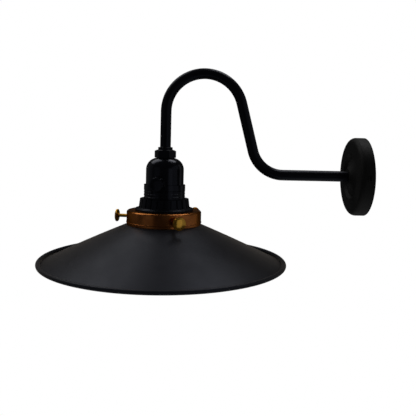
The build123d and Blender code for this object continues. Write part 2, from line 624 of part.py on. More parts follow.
# ---------------------------------------------------------------- holder nipple, nut and cap
with BuildPart() as holder_nipple:
    with BuildSketch(level(NIPPLE_LOW)):
        Circle(THREAD_RADIUS)
        Circle(NIPPLE_BORE, mode=Mode.SUBTRACT)
    extrude(amount=TUBE_END + NIPPLE_GRIP - SEAT_GAP - NIPPLE_LOW)
save(holder_nipple.part, "holder_nipple")

NUT_CORNER = NUT_FLATS / 2 / cos(radians(30))
with BuildPart() as entry_nut:
    with BuildSketch(level(CAP_TOP)):
        RegularPolygon(NUT_FLATS / 2, 6, major_radius=False, rotation=NUT_TURN)
    extrude(amount=NUT_HEIGHT)
    with BuildSketch(LAMP_PLANE):
        with BuildLine():
            Polyline((0, CAP_TOP), (NUT_CORNER - NUT_CHAMFER / 2, CAP_TOP),
                     (NUT_CORNER, CAP_TOP + NUT_CHAMFER / 2), (NUT_CORNER, NUT_TOP - NUT_CHAMFER),
                     (NUT_FLATS / 2 - NUT_CHAMFER, NUT_TOP), (0, NUT_TOP), close=True)
        make_face()
    revolve(axis=LAMP_AXIS, mode=Mode.INTERSECT)
    with BuildSketch(level(NUT_TOP)):
        Circle(NUT_COLLAR_RADIUS)
    extrude(amount=NUT_COLLAR_HEIGHT)
    fillet(entry_nut.edges().group_by(Axis.Z)[-1], NUT_COLLAR_EDGE)
    with BuildSketch(level(CAP_TOP)):
        Circle(THREAD_HOLE)
    extrude(amount=NUT_HEIGHT + NUT_COLLAR_HEIGHT, mode=Mode.SUBTRACT)
    with BuildSketch(level(TUBE_END)):
        Circle(TUBE_RADIUS + RUNNING_GAP)
    extrude(amount=TUBE_IN_NUT, mode=Mode.SUBTRACT)
save(entry_nut.part, "entry_nut")

SHOULDER_R = CAP_RADIUS - CAP_SHOULDER
SHOULDER_Z = CAP_TOP - CAP_SHOULDER
INNER_SHOULDER = CAP_SHOULDER - CAP_WALL
INNER_ANGLE = degrees(acos((CAP_BOSS_RADIUS - SHOULDER_R) / INNER_SHOULDER))
INNER_SHOULDER_TOP = SHOULDER_Z + INNER_SHOULDER * sin(radians(INNER_ANGLE))
CAP_BOSS_LOW = CAP_TOP - CAP_BOSS_DEPTH

with BuildPart() as holder_cap:
    with BuildSketch(LAMP_PLANE):
        with BuildLine():
            Line((THREAD_HOLE, CAP_TOP), (SHOULDER_R, CAP_TOP))
            CenterArc((SHOULDER_R, SHOULDER_Z), CAP_SHOULDER, 90, -90)
            Polyline((CAP_RADIUS, SHOULDER_Z), (CAP_RADIUS, CAP_LOW), (CAP_BORE, CAP_LOW),
                     (CAP_BORE, SHOULDER_Z))
            CenterArc((SHOULDER_R, SHOULDER_Z), INNER_SHOULDER, 0, INNER_ANGLE)
            Polyline((CAP_BOSS_RADIUS, INNER_SHOULDER_TOP), (CAP_BOSS_RADIUS, CAP_BOSS_LOW),
                     (THREAD_HOLE, CAP_BOSS_LOW), (THREAD_HOLE, CAP_TOP))
        make_face()
    revolve(axis=LAMP_AXIS)
    with BuildSketch(facing_plane(SWITCH_AZIMUTH, 0, SWITCH_Z)):
        Circle(SWITCH_BUSH_RADIUS + RUNNING_GAP)
    extrude(amount=KNOB_FACE, mode=Mode.SUBTRACT)
save(holder_cap.part, "holder_cap")

# ---------------------------------------------------------------- lampholder body
FIXING_PLACES = [tuple(radial(azimuth) * FIXING_DISTANCE) for azimuth in FIXING_AZIMUTHS]

with BuildPart() as holder_body:
    with BuildSketch(LAMP_PLANE):
        with BuildLine():
            Polyline((SPIGOT_RADIUS, BODY_TOP + SPIGOT_HEIGHT), (SPIGOT_RADIUS, BODY_TOP),
                     (BAND_RADIUS, BODY_TOP), (BAND_RADIUS, BODY_TOP - BAND_HEIGHT),
                     (BODY_RADIUS, BODY_TOP - BAND_HEIGHT - BAND_RADIUS + BODY_RADIUS),
                     (BODY_RADIUS, BODY_LOW), (BODY_BORE, BODY_LOW), (BODY_BORE, INSULATOR_TOP),
                     (SHELF_BORE, INSULATOR_TOP), (SHELF_BORE, SHELF_TOP), (SPIGOT_BORE, SHELF_TOP),
                     (SPIGOT_BORE, BODY_TOP + SPIGOT_HEIGHT), close=True)
        make_face()
    revolve(axis=LAMP_AXIS)
    with BuildSketch(facing_plane(SWITCH_AZIMUTH, 0, SWITCH_Z)):
        Circle(SWITCH_BUSH_RADIUS + RUNNING_GAP)
    extrude(amount=KNOB_FACE, mode=Mode.SUBTRACT)
    with BuildSketch(facing_plane(SWITCH_AZIMUTH, RING_NUT_BACK, SWITCH_Z)):
        Circle(RING_NUT_RADIUS + SEAT_GAP)
    extrude(amount=RING_NUT_HEIGHT, mode=Mode.SUBTRACT)
    with BuildSketch(level(INSULATOR_TOP)):
        with Locations(FIXING_PLACES):
            Circle(FIXING_RADIUS + RUNNING_GAP)
    extrude(amount=FIXING_BITE + SEAT_GAP, mode=Mode.SUBTRACT)
save(holder_body.part, "holder_body")

# ---------------------------------------------------------------- insulator, shell and terminals
NEUTRAL_AT = (-WIRE_OFFSET, NEUTRAL_OFFSET)
NEUTRAL_AZIMUTH = degrees(atan2(NEUTRAL_OFFSET, -WIRE_OFFSET))
NEUTRAL_DISTANCE = (WIRE_OFFSET**2 + NEUTRAL_OFFSET**2) ** 0.5
POST_AT = tuple(radial(POST_AZIMUTH) * POST_DISTANCE)

with BuildPart() as socket_insulator:
    with BuildSketch(LAMP_PLANE):
        with BuildLine():
            Polyline((0, INSULATOR_TOP), (INSULATOR_RADIUS, INSULATOR_TOP),
                     (INSULATOR_RADIUS, INSULATOR_LOW), (SHELL_RADIUS + RUNNING_GAP, INSULATOR_LOW),
                     (SHELL_RADIUS + RUNNING_GAP, SHELL_TOP), (0, SHELL_TOP), close=True)
        make_face()
    revolve(axis=LAMP_AXIS)
    with BuildSketch(level(SHELL_TOP)):
        with Locations(NEUTRAL_AT):
            Circle(TERMINAL_SCREW + RUNNING_GAP)
        with Locations(POST_AT):
            Circle(POST_RADIUS + RUNNING_GAP)
    extrude(amount=INSULATOR_BASE, mode=Mode.SUBTRACT)
    with BuildSketch(level(INSULATOR_LOW)):
        with Locations(FIXING_PLACES):
            Circle(FIXING_RADIUS + RUNNING_GAP)
    extrude(amount=INSULATOR_TOP - INSULATOR_LOW, mode=Mode.SUBTRACT)
    with BuildSketch(level(INSULATOR_LOW)):
        with Locations(FIXING_PLACES):
            Circle(FIXING_HEAD_RADIUS + RUNNING_GAP)
    extrude(amount=FIXING_HEAD_HEIGHT + SEAT_GAP, mode=Mode.SUBTRACT)
save(socket_insulator.part, "socket_insulator")

with BuildPart() as insulator_screws:
    with BuildSketch(level(INSULATOR_LOW + SEAT_GAP)):
        with Locations(FIXING_PLACES):
            Circle(FIXING_HEAD_RADIUS)
    extrude(amount=FIXING_HEAD_HEIGHT)
    with BuildSketch(level(INSULATOR_LOW + SEAT_GAP)):
        with Locations(FIXING_PLACES):
            Circle(FIXING_RADIUS)
    extrude(amount=INSULATOR_TOP + FIXING_BITE - INSULATOR_LOW - SEAT_GAP)
save(insulator_screws.part, "insulator_screws")

THROAT_OUTSIDE = THROAT_RADIUS + SHELL_WALL
TAB_INNER = NEUTRAL_DISTANCE - SHELL_TAB_WIDTH / 2
TAB_PLANE = Plane((0, -REACH, SHELL_TOP - SHELL_WALL), x_dir=radial(NEUTRAL_AZIMUTH), z_dir=(0, 0, 1))

with BuildPart() as screw_shell:
    with BuildSketch(LAMP_PLANE):
        with BuildLine():
            Polyline((SHELL_BORE, SHELL_LOW), (SHELL_RADIUS, SHELL_LOW), (SHELL_RADIUS, THROAT_LOW),
                     (THROAT_OUTSIDE, THROAT_SHOULDER), (THROAT_OUTSIDE, SHELL_TOP),
                     (THROAT_RADIUS, SHELL_TOP), (THROAT_RADIUS, THROAT_SHOULDER),
                     (SHELL_BORE, THROAT_LOW), close=True)
        make_face()
    revolve(axis=LAMP_AXIS)
    with BuildSketch(TAB_PLANE):
        with Locations(((TAB_INNER + THROAT_OUTSIDE) / 2, 0)):
            Rectangle(THROAT_OUTSIDE - TAB_INNER, SHELL_TAB_WIDTH)
        Circle(THROAT_OUTSIDE, mode=Mode.INTERSECT)
        with Locations((NEUTRAL_DISTANCE, 0)):
            Circle(TERMINAL_SCREW + RUNNING_GAP, mode=Mode.SUBTRACT)
    extrude(amount=SHELL_WALL)
save(screw_shell.part, "screw_shell")

with BuildPart() as neutral_terminal_screw:
    with BuildSketch(level(SHELL_TOP - TERMINAL_TAIL)):
        with Locations(NEUTRAL_AT):
            Circle(TERMINAL_SCREW)
    extrude(amount=TERMINAL_TAIL + INSULATOR_BASE)
    with BuildSketch(level(INSULATOR_TOP)):
        with Locations(NEUTRAL_AT):
            Circle(TERMINAL_HEAD_RADIUS)
    extrude(amount=TERMINAL_HEAD_HEIGHT)
save(neutral_terminal_screw.part, "neutral_terminal_screw")

FOOT_LOW = SHELL_TOP - POST_FOOT_HEIGHT
with BuildPart() as contact_post:
    with BuildSketch(level(FOOT_LOW)):
        with Locations(POST_AT):
            Circle(POST_RADIUS)
    extrude(amount=SWITCH_Z - CONTACT_THICKNESS / 2 - FOOT_LOW)
    with BuildSketch(level(FOOT_LOW)):
        with Locations(POST_AT):
            Circle(POST_FOOT_RADIUS)
    extrude(amount=POST_FOOT_HEIGHT)
save(contact_post.part, "contact_post")

LEAF_TOP = FOOT_LOW - SEAT_GAP
LEAF_DROP = LEAF_SAG + LEAF_THICKNESS
with BuildPart() as centre_contact:
    with BuildSketch(profile_plane(POST_AZIMUTH, LEAF_TOP)):
        with BuildLine():
            Polyline((POST_DISTANCE + LEAF_TAIL, 0), (POST_DISTANCE, 0), (0, -LEAF_SAG),
                     (-LEAF_OVERRUN, -LEAF_SAG), (-LEAF_OVERRUN, -LEAF_DROP), (0, -LEAF_DROP),
                     (POST_DISTANCE, -LEAF_THICKNESS), (POST_DISTANCE + LEAF_TAIL, -LEAF_THICKNESS),
                     close=True)
        make_face()
    extrude(amount=LEAF_WIDTH / 2, both=True)
save(centre_contact.part, "centre_contact")

# ---------------------------------------------------------------- rotary switch
with BuildPart() as switch_housing:
    with BuildSketch(facing_plane(SWITCH_AZIMUTH, HOUSING_BACK, SWITCH_Z)):
        Circle(HOUSING_RADIUS)
    extrude(amount=HOUSING_LENGTH)
    with BuildSketch(facing_plane(SWITCH_AZIMUTH, HOUSING_BACK, SWITCH_Z)):
        Circle(ROTOR_RADIUS + RUNNING_GAP)
    extrude(amount=CHAMBER_FRONT - HOUSING_BACK, mode=Mode.SUBTRACT)
    with BuildSketch(facing_plane(SWITCH_AZIMUTH, CHAMBER_FRONT, SWITCH_Z)):
        Circle(SPINDLE_HOLE)
    extrude(amount=HOUSING_NOSE, mode=Mode.SUBTRACT)
    with BuildSketch(facing_plane(SWITCH_AZIMUTH, ROTOR_BACK, SWITCH_Z)):
        Rectangle(2 * CONTACT_REACH, CONTACT_THICKNESS + 2 * RUNNING_GAP)
    extrude(amount=CONTACT_LENGTH + 2 * RUNNING_GAP, mode=Mode.SUBTRACT)
save(switch_housing.part, "switch_housing")

with BuildPart() as switch_contacts:
    contact_inner = ROTOR_RADIUS + CONTACT_GAP
    contact_width = CONTACT_REACH - contact_inner
    with BuildSketch(facing_plane(SWITCH_AZIMUTH, ROTOR_BACK + RUNNING_GAP, SWITCH_Z)):
        with GridLocations(contact_inner + CONTACT_REACH, 0, 2, 1):
            Rectangle(contact_width, CONTACT_THICKNESS)
    extrude(amount=CONTACT_LENGTH)
save(switch_contacts.part, "switch_contacts")

with BuildPart() as switch_cover:
    with BuildSketch(facing_plane(SWITCH_AZIMUTH, HOUSING_BACK, SWITCH_Z)):
        Circle(ROTOR_RADIUS)
    extrude(amount=COVER_THICKNESS)
save(switch_cover.part, "switch_cover")

with BuildPart() as switch_rotor:
    with BuildSketch(facing_plane(SWITCH_AZIMUTH, ROTOR_BACK, SWITCH_Z)):
        Circle(ROTOR_RADIUS)
        Circle(SPINDLE_HOLE, mode=Mode.SUBTRACT)
    extrude(amount=ROTOR_LENGTH)
    with BuildSketch(facing_plane(SWITCH_AZIMUTH, ROTOR_BACK, SWITCH_Z)):
        Rectangle(2 * ROTOR_RADIUS, BRIDGE_WIDTH + 2 * RUNNING_GAP)
    extrude(amount=BRIDGE_THICKNESS, mode=Mode.SUBTRACT)
save(switch_rotor.part, "switch_rotor")

with BuildPart() as rotor_bridge:
    with BuildSketch(facing_plane(SWITCH_AZIMUTH, ROTOR_BACK, SWITCH_Z)):
        Rectangle(2 * ROTOR_RADIUS, BRIDGE_WIDTH)
        Circle(ROTOR_RADIUS - RUNNING_GAP, mode=Mode.INTERSECT)
    extrude(amount=BRIDGE_THICKNESS)
save(rotor_bridge.part, "rotor_bridge")

with BuildPart() as switch_spindle:
    with BuildSketch(facing_plane(SWITCH_AZIMUTH, ROTOR_BACK + BRIDGE_THICKNESS, SWITCH_Z)):
        Circle(SPINDLE_RADIUS)
    extrude(amount=KNOB_BACK + SPINDLE_IN_KNOB - ROTOR_BACK - BRIDGE_THICKNESS)
save(switch_spindle.part, "switch_spindle")

with BuildPart() as switch_bush:
    with BuildSketch(facing_plane(SWITCH_AZIMUTH, HOUSING_FRONT, SWITCH_Z)):
        Circle(SWITCH_BUSH_RADIUS)
        Circle(SPINDLE_HOLE, mode=Mode.SUBTRACT)
    extrude(amount=RING_NUT_FRONT - HOUSING_FRONT)
save(switch_bush.part, "switch_bush")

with BuildPart() as switch_ring_nut:
    with BuildSketch(facing_plane(SWITCH_AZIMUTH, RING_NUT_BACK, SWITCH_Z)):
        Circle(RING_NUT_RADIUS)
        Circle(SWITCH_BUSH_RADIUS + RUNNING_GAP, mode=Mode.SUBTRACT)
    extrude(amount=RING_NUT_HEIGHT)
save(switch_ring_nut.part, "switch_ring_nut")

with BuildPart() as switch_knob:
    with BuildSketch(profile_plane(SWITCH_AZIMUTH, SWITCH_Z)):
        with BuildLine():
            Polyline((KNOB_BACK, 0), (KNOB_BACK, KNOB_RADIUS - KNOB_EDGE / 2),
                     (KNOB_BACK + KNOB_EDGE / 2, KNOB_RADIUS), (KNOB_FACE - KNOB_EDGE, KNOB_RADIUS))
            CenterArc((KNOB_FACE - KNOB_EDGE, KNOB_RADIUS - KNOB_EDGE), KNOB_EDGE, 90, -90)
            Line((KNOB_FACE, KNOB_RADIUS - KNOB_EDGE), (KNOB_FACE, KNOB_RADIUS - 2 * KNOB_EDGE))
            TangentArc((KNOB_FACE - KNOB_DISH, 0), (KNOB_FACE, KNOB_RADIUS - 2 * KNOB_EDGE),
                       tangent=(0, 1))
            Line((KNOB_FACE - KNOB_DISH, 0), (KNOB_BACK, 0))
        make_face()
    revolve(axis=radial_axis(SWITCH_AZIMUTH, SWITCH_Z))
    with BuildSketch(facing_plane(SWITCH_AZIMUTH, KNOB_BACK, SWITCH_Z)):
        Circle(SPINDLE_HOLE)
    extrude(amount=SPINDLE_IN_KNOB + RUNNING_GAP, mode=Mode.SUBTRACT)
    with BuildSketch(facing_plane(SWITCH_AZIMUTH, KNOB_BACK, SWITCH_Z)):
        with PolarLocations(KNOB_RADIUS + KNOB_FLUTE_OUT, KNOB_FLUTES):
            Circle(KNOB_FLUTE_RADIUS)
    extrude(amount=KNOB_LENGTH, mode=Mode.SUBTRACT)
save(switch_knob.part, "switch_knob")

# ---------------------------------------------------------------- ribbed ring
RIB_STEP = 360 / RIB_COUNT
RIB_PLANES = [profile_plane(RIB_PHASE + i * RIB_STEP, 0) for i in range(RIB_COUNT)]
FLARE_RADIUS = RIBBED_LOW_RADIUS + FLARE

with BuildPart() as shade_ring:
    with BuildSketch(LAMP_PLANE):
        with BuildLine():
            Polyline((SKIRT_HOLE, RIBBED_TOP), (RIBBED_TOP_RADIUS, RIBBED_TOP),
                     (RIBBED_LOW_RADIUS, RIBBED_LOW))
            CenterArc((FLARE_RADIUS, RIBBED_LOW), FLARE, 180, 90)
            Polyline((FLARE_RADIUS, FLANGE_TOP), (FLANGE_RADIUS - FLANGE_EDGE, FLANGE_TOP),
                     (FLANGE_RADIUS, FLANGE_TOP - FLANGE_EDGE), (FLANGE_RADIUS, GALLERY_TOP),
                     (SKIRT_HOLE, GALLERY_TOP), (SKIRT_HOLE, RIBBED_TOP))
        make_face()
    revolve(axis=LAMP_AXIS)
    with BuildSketch(*RIB_PLANES):
        with BuildLine():
            Polyline((RIBBED_TOP_RADIUS - RIB_GROOVE_DEPTH, RIBBED_TOP), (FLARE_RADIUS, RIBBED_TOP),
                     (FLARE_RADIUS, RIBBED_LOW), (RIBBED_LOW_RADIUS - RIB_GROOVE_DEPTH, RIBBED_LOW),
                     close=True)
        make_face()
    extrude(amount=RIB_GROOVE_WIDTH / 2, both=True, mode=Mode.SUBTRACT)
save(shade_ring.part, "shade_ring")

# ---------------------------------------------------------------- gallery and what holds it
EDGE_R = GALLERY_RADIUS - GALLERY_EDGE
EDGE_Z = GALLERY_TOP - GALLERY_EDGE
BEAD_TOP_Z = GALLERY_LOW + GALLERY_BEAD_LIFT + 2 * GALLERY_BEAD
BEAD_LOW_Z = GALLERY_LOW + GALLERY_BEAD_LIFT

with BuildPart() as gallery:
    with BuildSketch(LAMP_PLANE):
        with BuildLine():
            Line((SKIRT_HOLE, GALLERY_TOP), (EDGE_R, GALLERY_TOP))
            CenterArc((EDGE_R, EDGE_Z), GALLERY_EDGE, 90, -90)
            Line((GALLERY_RADIUS, EDGE_Z), (GALLERY_RADIUS, BEAD_TOP_Z))
            CenterArc((GALLERY_RADIUS, (BEAD_TOP_Z + BEAD_LOW_Z) / 2), GALLERY_BEAD, 90, -180)
            Polyline((GALLERY_RADIUS, BEAD_LOW_Z), (GALLERY_RADIUS, GALLERY_LOW),
                     (GALLERY_BORE, GALLERY_LOW), (GALLERY_BORE, EDGE_Z))
            CenterArc((EDGE_R, EDGE_Z), GALLERY_EDGE - GALLERY_WALL, 0, 90)
            Polyline((EDGE_R, PLATE_LOW), (SKIRT_HOLE, PLATE_LOW), (SKIRT_HOLE, GALLERY_TOP))
        make_face()
    revolve(axis=LAMP_AXIS)
    for azimuth in THUMB_AZIMUTHS.values():
        with BuildSketch(facing_plane(azimuth, 0, THUMB_Z)):
            Circle(BUSH_RADIUS + RUNNING_GAP)
        extrude(amount=THUMB_REACH, mode=Mode.SUBTRACT)
save(gallery.part, "gallery")

with BuildPart() as gallery_bushes:
    for azimuth in THUMB_AZIMUTHS.values():
        with BuildSketch(facing_plane(azimuth, GALLERY_BORE - BUSH_LENGTH, THUMB_Z)):
            Circle(BUSH_RADIUS)
        extrude(amount=BUSH_LENGTH + GALLERY_WALL)
        with BuildSketch(facing_plane(azimuth, GALLERY_BORE - BUSH_LENGTH, THUMB_Z)):
            Circle(BUSH_FLANGE)
        extrude(amount=BUSH_LENGTH - SEAT_GAP)
        with BuildSketch(facing_plane(azimuth, 0, THUMB_Z)):
            Circle(THUMB_SHANK + RUNNING_GAP)
        extrude(amount=THUMB_REACH, mode=Mode.SUBTRACT)
save(gallery_bushes.part, "gallery_bushes")

with BuildPart() as clamp_ring:
    with BuildSketch(level(PLATE_LOW - CLAMP_RING_HEIGHT)):
        Circle(CLAMP_RING_RADIUS)
        Circle(SKIRT_HOLE, mode=Mode.SUBTRACT)
        with PolarLocations(CLAMP_RING_RADIUS, CLAMP_NOTCHES):
            Circle(CLAMP_NOTCH_RADIUS, mode=Mode.SUBTRACT)
    extrude(amount=CLAMP_RING_HEIGHT)
save(clamp_ring.part, "clamp_ring")

# ---------------------------------------------------------------- thumbscrews
TIP = NECK_RADIUS + SEAT_GAP
HEAD_BACK = THUMB_REACH - THUMB_HEAD_THICKNESS
HEAD_RIM = THUMB_REACH - THUMB_HEAD_CROWN

for side, azimuth in THUMB_AZIMUTHS.items():
    with BuildPart() as thumbscrew:
        with BuildSketch(profile_plane(azimuth, THUMB_Z)):
            with BuildLine():
                Polyline((TIP, 0), (TIP, THUMB_SHANK - THUMB_POINT), (TIP + THUMB_POINT, THUMB_SHANK),
                         (HEAD_BACK, THUMB_SHANK), (HEAD_BACK, THUMB_HEAD_RADIUS - THUMB_HEAD_EDGE),
                         (HEAD_BACK + THUMB_HEAD_EDGE, THUMB_HEAD_RADIUS), (HEAD_RIM, THUMB_HEAD_RADIUS))
                TangentArc((THUMB_REACH, 0), (HEAD_RIM, THUMB_HEAD_RADIUS), tangent=(0, 1))
                Line((THUMB_REACH, 0), (TIP, 0))
            make_face()
        revolve(axis=radial_axis(azimuth, THUMB_Z))
    save(thumbscrew.part, "thumbscrew_" + side)

# ---------------------------------------------------------------- shade
with BuildPart() as shade:
    with BuildSketch(LAMP_PLANE):
        with BuildLine():
            Polyline((NECK_RADIUS, NECK_TOP), (NECK_RADIUS, SHOULDER_TOP),
                     (SHOULDER_RADIUS, SHOULDER_TOP))
            SagittaArc((SHOULDER_RADIUS, SHOULDER_TOP), (BEAD_CENTRE, RIM_TOP), -SHADE_HOLLOW)
            Line((BEAD_CENTRE, RIM_TOP), (BEAD_CENTRE, RIM_TOP - SHADE_WALL))
            SagittaArc((BEAD_CENTRE, RIM_TOP - SHADE_WALL), (SHOULDER_RADIUS, SHOULDER_LOW),
                       SHADE_HOLLOW)
            Polyline((SHOULDER_RADIUS, SHOULDER_LOW), (NECK_BORE, SHOULDER_LOW),
                     (NECK_BORE, NECK_TOP), (NECK_RADIUS, NECK_TOP))
        make_face()
        with Locations((BEAD_CENTRE, RIM_TOP)):
            Circle(RIM_BEAD)
        with Locations((NECK_RADIUS, NECK_TOP)):
            Circle(NECK_BEAD)
    revolve(axis=LAMP_AXIS)
save(shade.part, "shade")
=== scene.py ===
from math import atan2, cos, pi, radians, sin

import bmesh
import bpy
from mathutils import Matrix, Vector


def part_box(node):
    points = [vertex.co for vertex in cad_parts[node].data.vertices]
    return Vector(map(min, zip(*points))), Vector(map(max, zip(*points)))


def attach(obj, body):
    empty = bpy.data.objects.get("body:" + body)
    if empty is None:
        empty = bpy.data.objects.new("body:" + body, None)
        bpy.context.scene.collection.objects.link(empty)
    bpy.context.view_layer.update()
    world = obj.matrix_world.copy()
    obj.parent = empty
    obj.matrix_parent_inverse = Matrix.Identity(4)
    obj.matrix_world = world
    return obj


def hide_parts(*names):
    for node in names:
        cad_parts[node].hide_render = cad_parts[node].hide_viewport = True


# Gooseneck wall sconce, dressed: black enamel arm, canopy and shade, phenolic lampholder,
# copper-coloured gallery with brass thumbscrews. Metres, +Z up, the wall is the plane Y = 0.

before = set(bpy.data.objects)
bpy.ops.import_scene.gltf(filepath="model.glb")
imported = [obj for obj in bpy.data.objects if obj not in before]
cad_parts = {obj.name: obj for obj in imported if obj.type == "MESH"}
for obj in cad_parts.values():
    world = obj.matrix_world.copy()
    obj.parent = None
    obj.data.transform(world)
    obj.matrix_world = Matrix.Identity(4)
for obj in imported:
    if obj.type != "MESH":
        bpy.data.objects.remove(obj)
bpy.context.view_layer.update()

# ---------------------------------------------------------------- where things are
LAMP_Y = sum(corner.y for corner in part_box("shade")) / 2

# ---------------------------------------------------------------- material helpers
NOISE_LOW = 0.3                 # most of a noise lies between these two values
NOISE_HIGH = 0.7


def new_material(name, **settings):
    """A material and its Principled shader, with these values on the shader's own sockets."""
    material = bpy.data.materials.new(name)
    material.use_nodes = True
    shader = material.node_tree.nodes["Principled BSDF"]
    for socket, value in settings.items():
        shader.inputs[socket.replace("_", " ")].default_value = value
    return material, shader


def add_node(material, kind, inputs=None, **properties):
    """A node whose sockets take a value or another node's output."""
    made = material.node_tree.nodes.new("ShaderNode" + kind)
    for name, value in properties.items():
        setattr(made, name, value)
    for socket, value in (inputs or {}).items():
        if isinstance(value, bpy.types.NodeSocket):
            material.node_tree.links.new(value, made.inputs[socket])
        else:
            made.inputs[socket].default_value = value
    return made


def object_place(material):
    """Where a point lies on the piece, in metres."""
    return add_node(material, "TexCoord").outputs["Object"]


def grain(material, place, cell, detail=2.0, roughness=0.5):
    """Soft noise whose blotches are about one cell across, in metres."""
    inputs = {"Vector": place, "Scale": 1 / cell, "Detail": detail, "Roughness": roughness}
    return add_node(material, "TexNoise", inputs).outputs["Fac"]


def spread(material, pattern, low, high):
    """Stretches the middle of a pattern over the values from low to high."""
    inputs = {"Value": pattern, "From Min": NOISE_LOW, "From Max": NOISE_HIGH,
              "To Min": low, "To Max": high}
    return add_node(material, "MapRange", inputs).outputs["Result"]


def two_tone(material, pattern, dark, light, start=NOISE_LOW, end=NOISE_HIGH):
    """Colour that goes from dark to light with a pattern."""
    ramp = add_node(material, "ValToRGB", {"Fac": pattern})
    ends = ramp.color_ramp.elements
    ends[0].position, ends[1].position = start, end
    ends[0].color, ends[1].color = (*dark, 1), (*light, 1)
    return ramp.outputs["Color"]


def relief(material, shader, height, depth):
    """Bump of that depth, in metres."""
    bump = add_node(material, "Bump", {"Height": height, "Distance": depth, "Strength": 1.0})
    material.node_tree.links.new(bump.outputs["Normal"], shader.inputs["Normal"])


def wire_up(material, shader, **sockets):
    """Links outputs to the shader's sockets of these names."""
    for socket, output in sockets.items():
        material.node_tree.links.new(output, shader.inputs[socket.replace("_", " ")])


# ---------------------------------------------------------------- finishes
PLAIN_GLEAM = (1.0, 1.0, 1.0)
COOL_GLEAM = (0.70, 0.76, 1.0)
UNEVEN = 0.15                   # how far a moulded surface's roughness strays, as a share of it


def enamel(name, dark, light, smooth, rough, ior, gleam=PLAIN_GLEAM, haze=0.0):
    """Sprayed and baked enamel with its fine orange peel, and haze where the eye grazes it."""
    material, shader = new_material(name, IOR=ior, Specular_Tint=(*gleam, 1), Sheen_Weight=haze,
                                    Sheen_Roughness=0.3, Sheen_Tint=(1, 0.86, 0.70, 1))
    place = object_place(material)
    cloud = grain(material, place, cell=0.02, detail=3)
    peel = grain(material, place, cell=0.0011)
    wire_up(material, shader, Base_Color=two_tone(material, cloud, dark, light),
            Roughness=spread(material, cloud, smooth, rough))
    relief(material, shader, peel, depth=1.2e-5)
    return material


def phenolic(name, dark, light, smooth, rough, ior):
    """Glossy moulded phenolic: faintly mottled, with a slow ripple left by the mould."""
    material, shader = new_material(name, IOR=ior, Specular_Tint=(*COOL_GLEAM, 1))
    place = object_place(material)
    mottle = grain(material, place, cell=0.004, detail=4, roughness=0.6)
    ripple = grain(material, place, cell=0.007, detail=1)
    wire_up(material, shader, Base_Color=two_tone(material, mottle, dark, light),
            Roughness=spread(material, mottle, smooth, rough))
    relief(material, shader, ripple, depth=3e-5)
    return material


def turned_place(material, origin, azimuth, tilt):
    """Distance from an axis and distance along it, so that a pattern runs in rings."""
    turn = add_node(material, "Mapping", {"Vector": object_place(material), "Location": origin,
                                          "Rotation": (0, tilt, azimuth)}, vector_type="TEXTURE")
    split = add_node(material, "SeparateXYZ", {"Vector": turn.outputs["Vector"]})
    flat = add_node(material, "CombineXYZ", {"X": split.outputs["X"], "Y": split.outputs["Y"]})
    radius = add_node(material, "VectorMath", {0: flat.outputs["Vector"]}, operation="LENGTH")
    rings = add_node(material, "CombineXYZ", {"X": radius.outputs["Value"], "Y": split.outputs["Z"]})
    return rings.outputs["Vector"]


def spun_metal(name, dark, light, edge, smooth, rough, origin, ring, depth, azimuth=0.0, tilt=0.0):
    """Turned or spun metal: fine rings round its axis under a clouded, lacquered colour."""
    material, shader = new_material(name, Metallic=1.0, Specular_Tint=(*edge, 1))
    rings = grain(material, turned_place(material, origin, azimuth, tilt), cell=ring, detail=3,
                  roughness=0.6)
    cloud = grain(material, object_place(material), cell=0.012, detail=4, roughness=0.6)
    wire_up(material, shader, Base_Color=two_tone(material, cloud, dark, light),
            Roughness=spread(material, cloud, smooth, rough))
    relief(material, shader, rings, depth)
    return material


def plated(name, dark, light, smooth, rough, cell):
    """Plated sheet metal with a fine crystal mottle."""
    material, shader = new_material(name, Metallic=1.0)
    spangle = grain(material, object_place(material), cell, detail=4, roughness=0.7)
    wire_up(material, shader, Base_Color=two_tone(material, spangle, dark, light),
            Roughness=spread(material, spangle, smooth, rough))
    relief(material, shader, spangle, depth=6e-6)
    return material


def fine_skin(material, shader, place):
    """The faint unevenness of a moulded or extruded surface."""
    relief(material, shader, grain(material, place, cell=6e-4), depth=8e-6)


def moulded(name, dark, light, rough, coat=0.0, subsurface=0.0):
    """Plain moulded plastic, ceramic or insulation."""
    material, shader = new_material(name, Coat_Weight=coat, Coat_Roughness=0.08,
                                    Subsurface_Weight=subsurface, Subsurface_Scale=0.002)
    place = object_place(material)
    mottle = grain(material, place, cell=0.002, detail=3)
    wire_up(material, shader, Base_Color=two_tone(material, mottle, dark, light),
            Roughness=spread(material, mottle, rough * (1 - UNEVEN), rough * (1 + UNEVEN)))
    fine_skin(material, shader, place)
    return material


def two_colour_insulation(name, first, second, rough, period):
    """Insulation with a second colour down one side."""
    material, shader = new_material(name, Roughness=rough)
    place = object_place(material)
    across = add_node(material, "SeparateXYZ", {"Vector": place}).outputs["X"]
    turns = add_node(material, "Math", {0: across, 1: 1 / period}, operation="MULTIPLY")
    part = add_node(material, "Math", {0: turns.outputs[0]}, operation="FRACT")
    wire_up(material, shader,
            Base_Color=two_tone(material, part.outputs[0], first, second, start=0.45, end=0.5))
    fine_skin(material, shader, place)
    return material


def cover_node(node, material):
    """Gives a CAD node one material in place of the plain one it came with."""
    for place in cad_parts[node].material_slots:
        place.link = "OBJECT"
        place.material = material


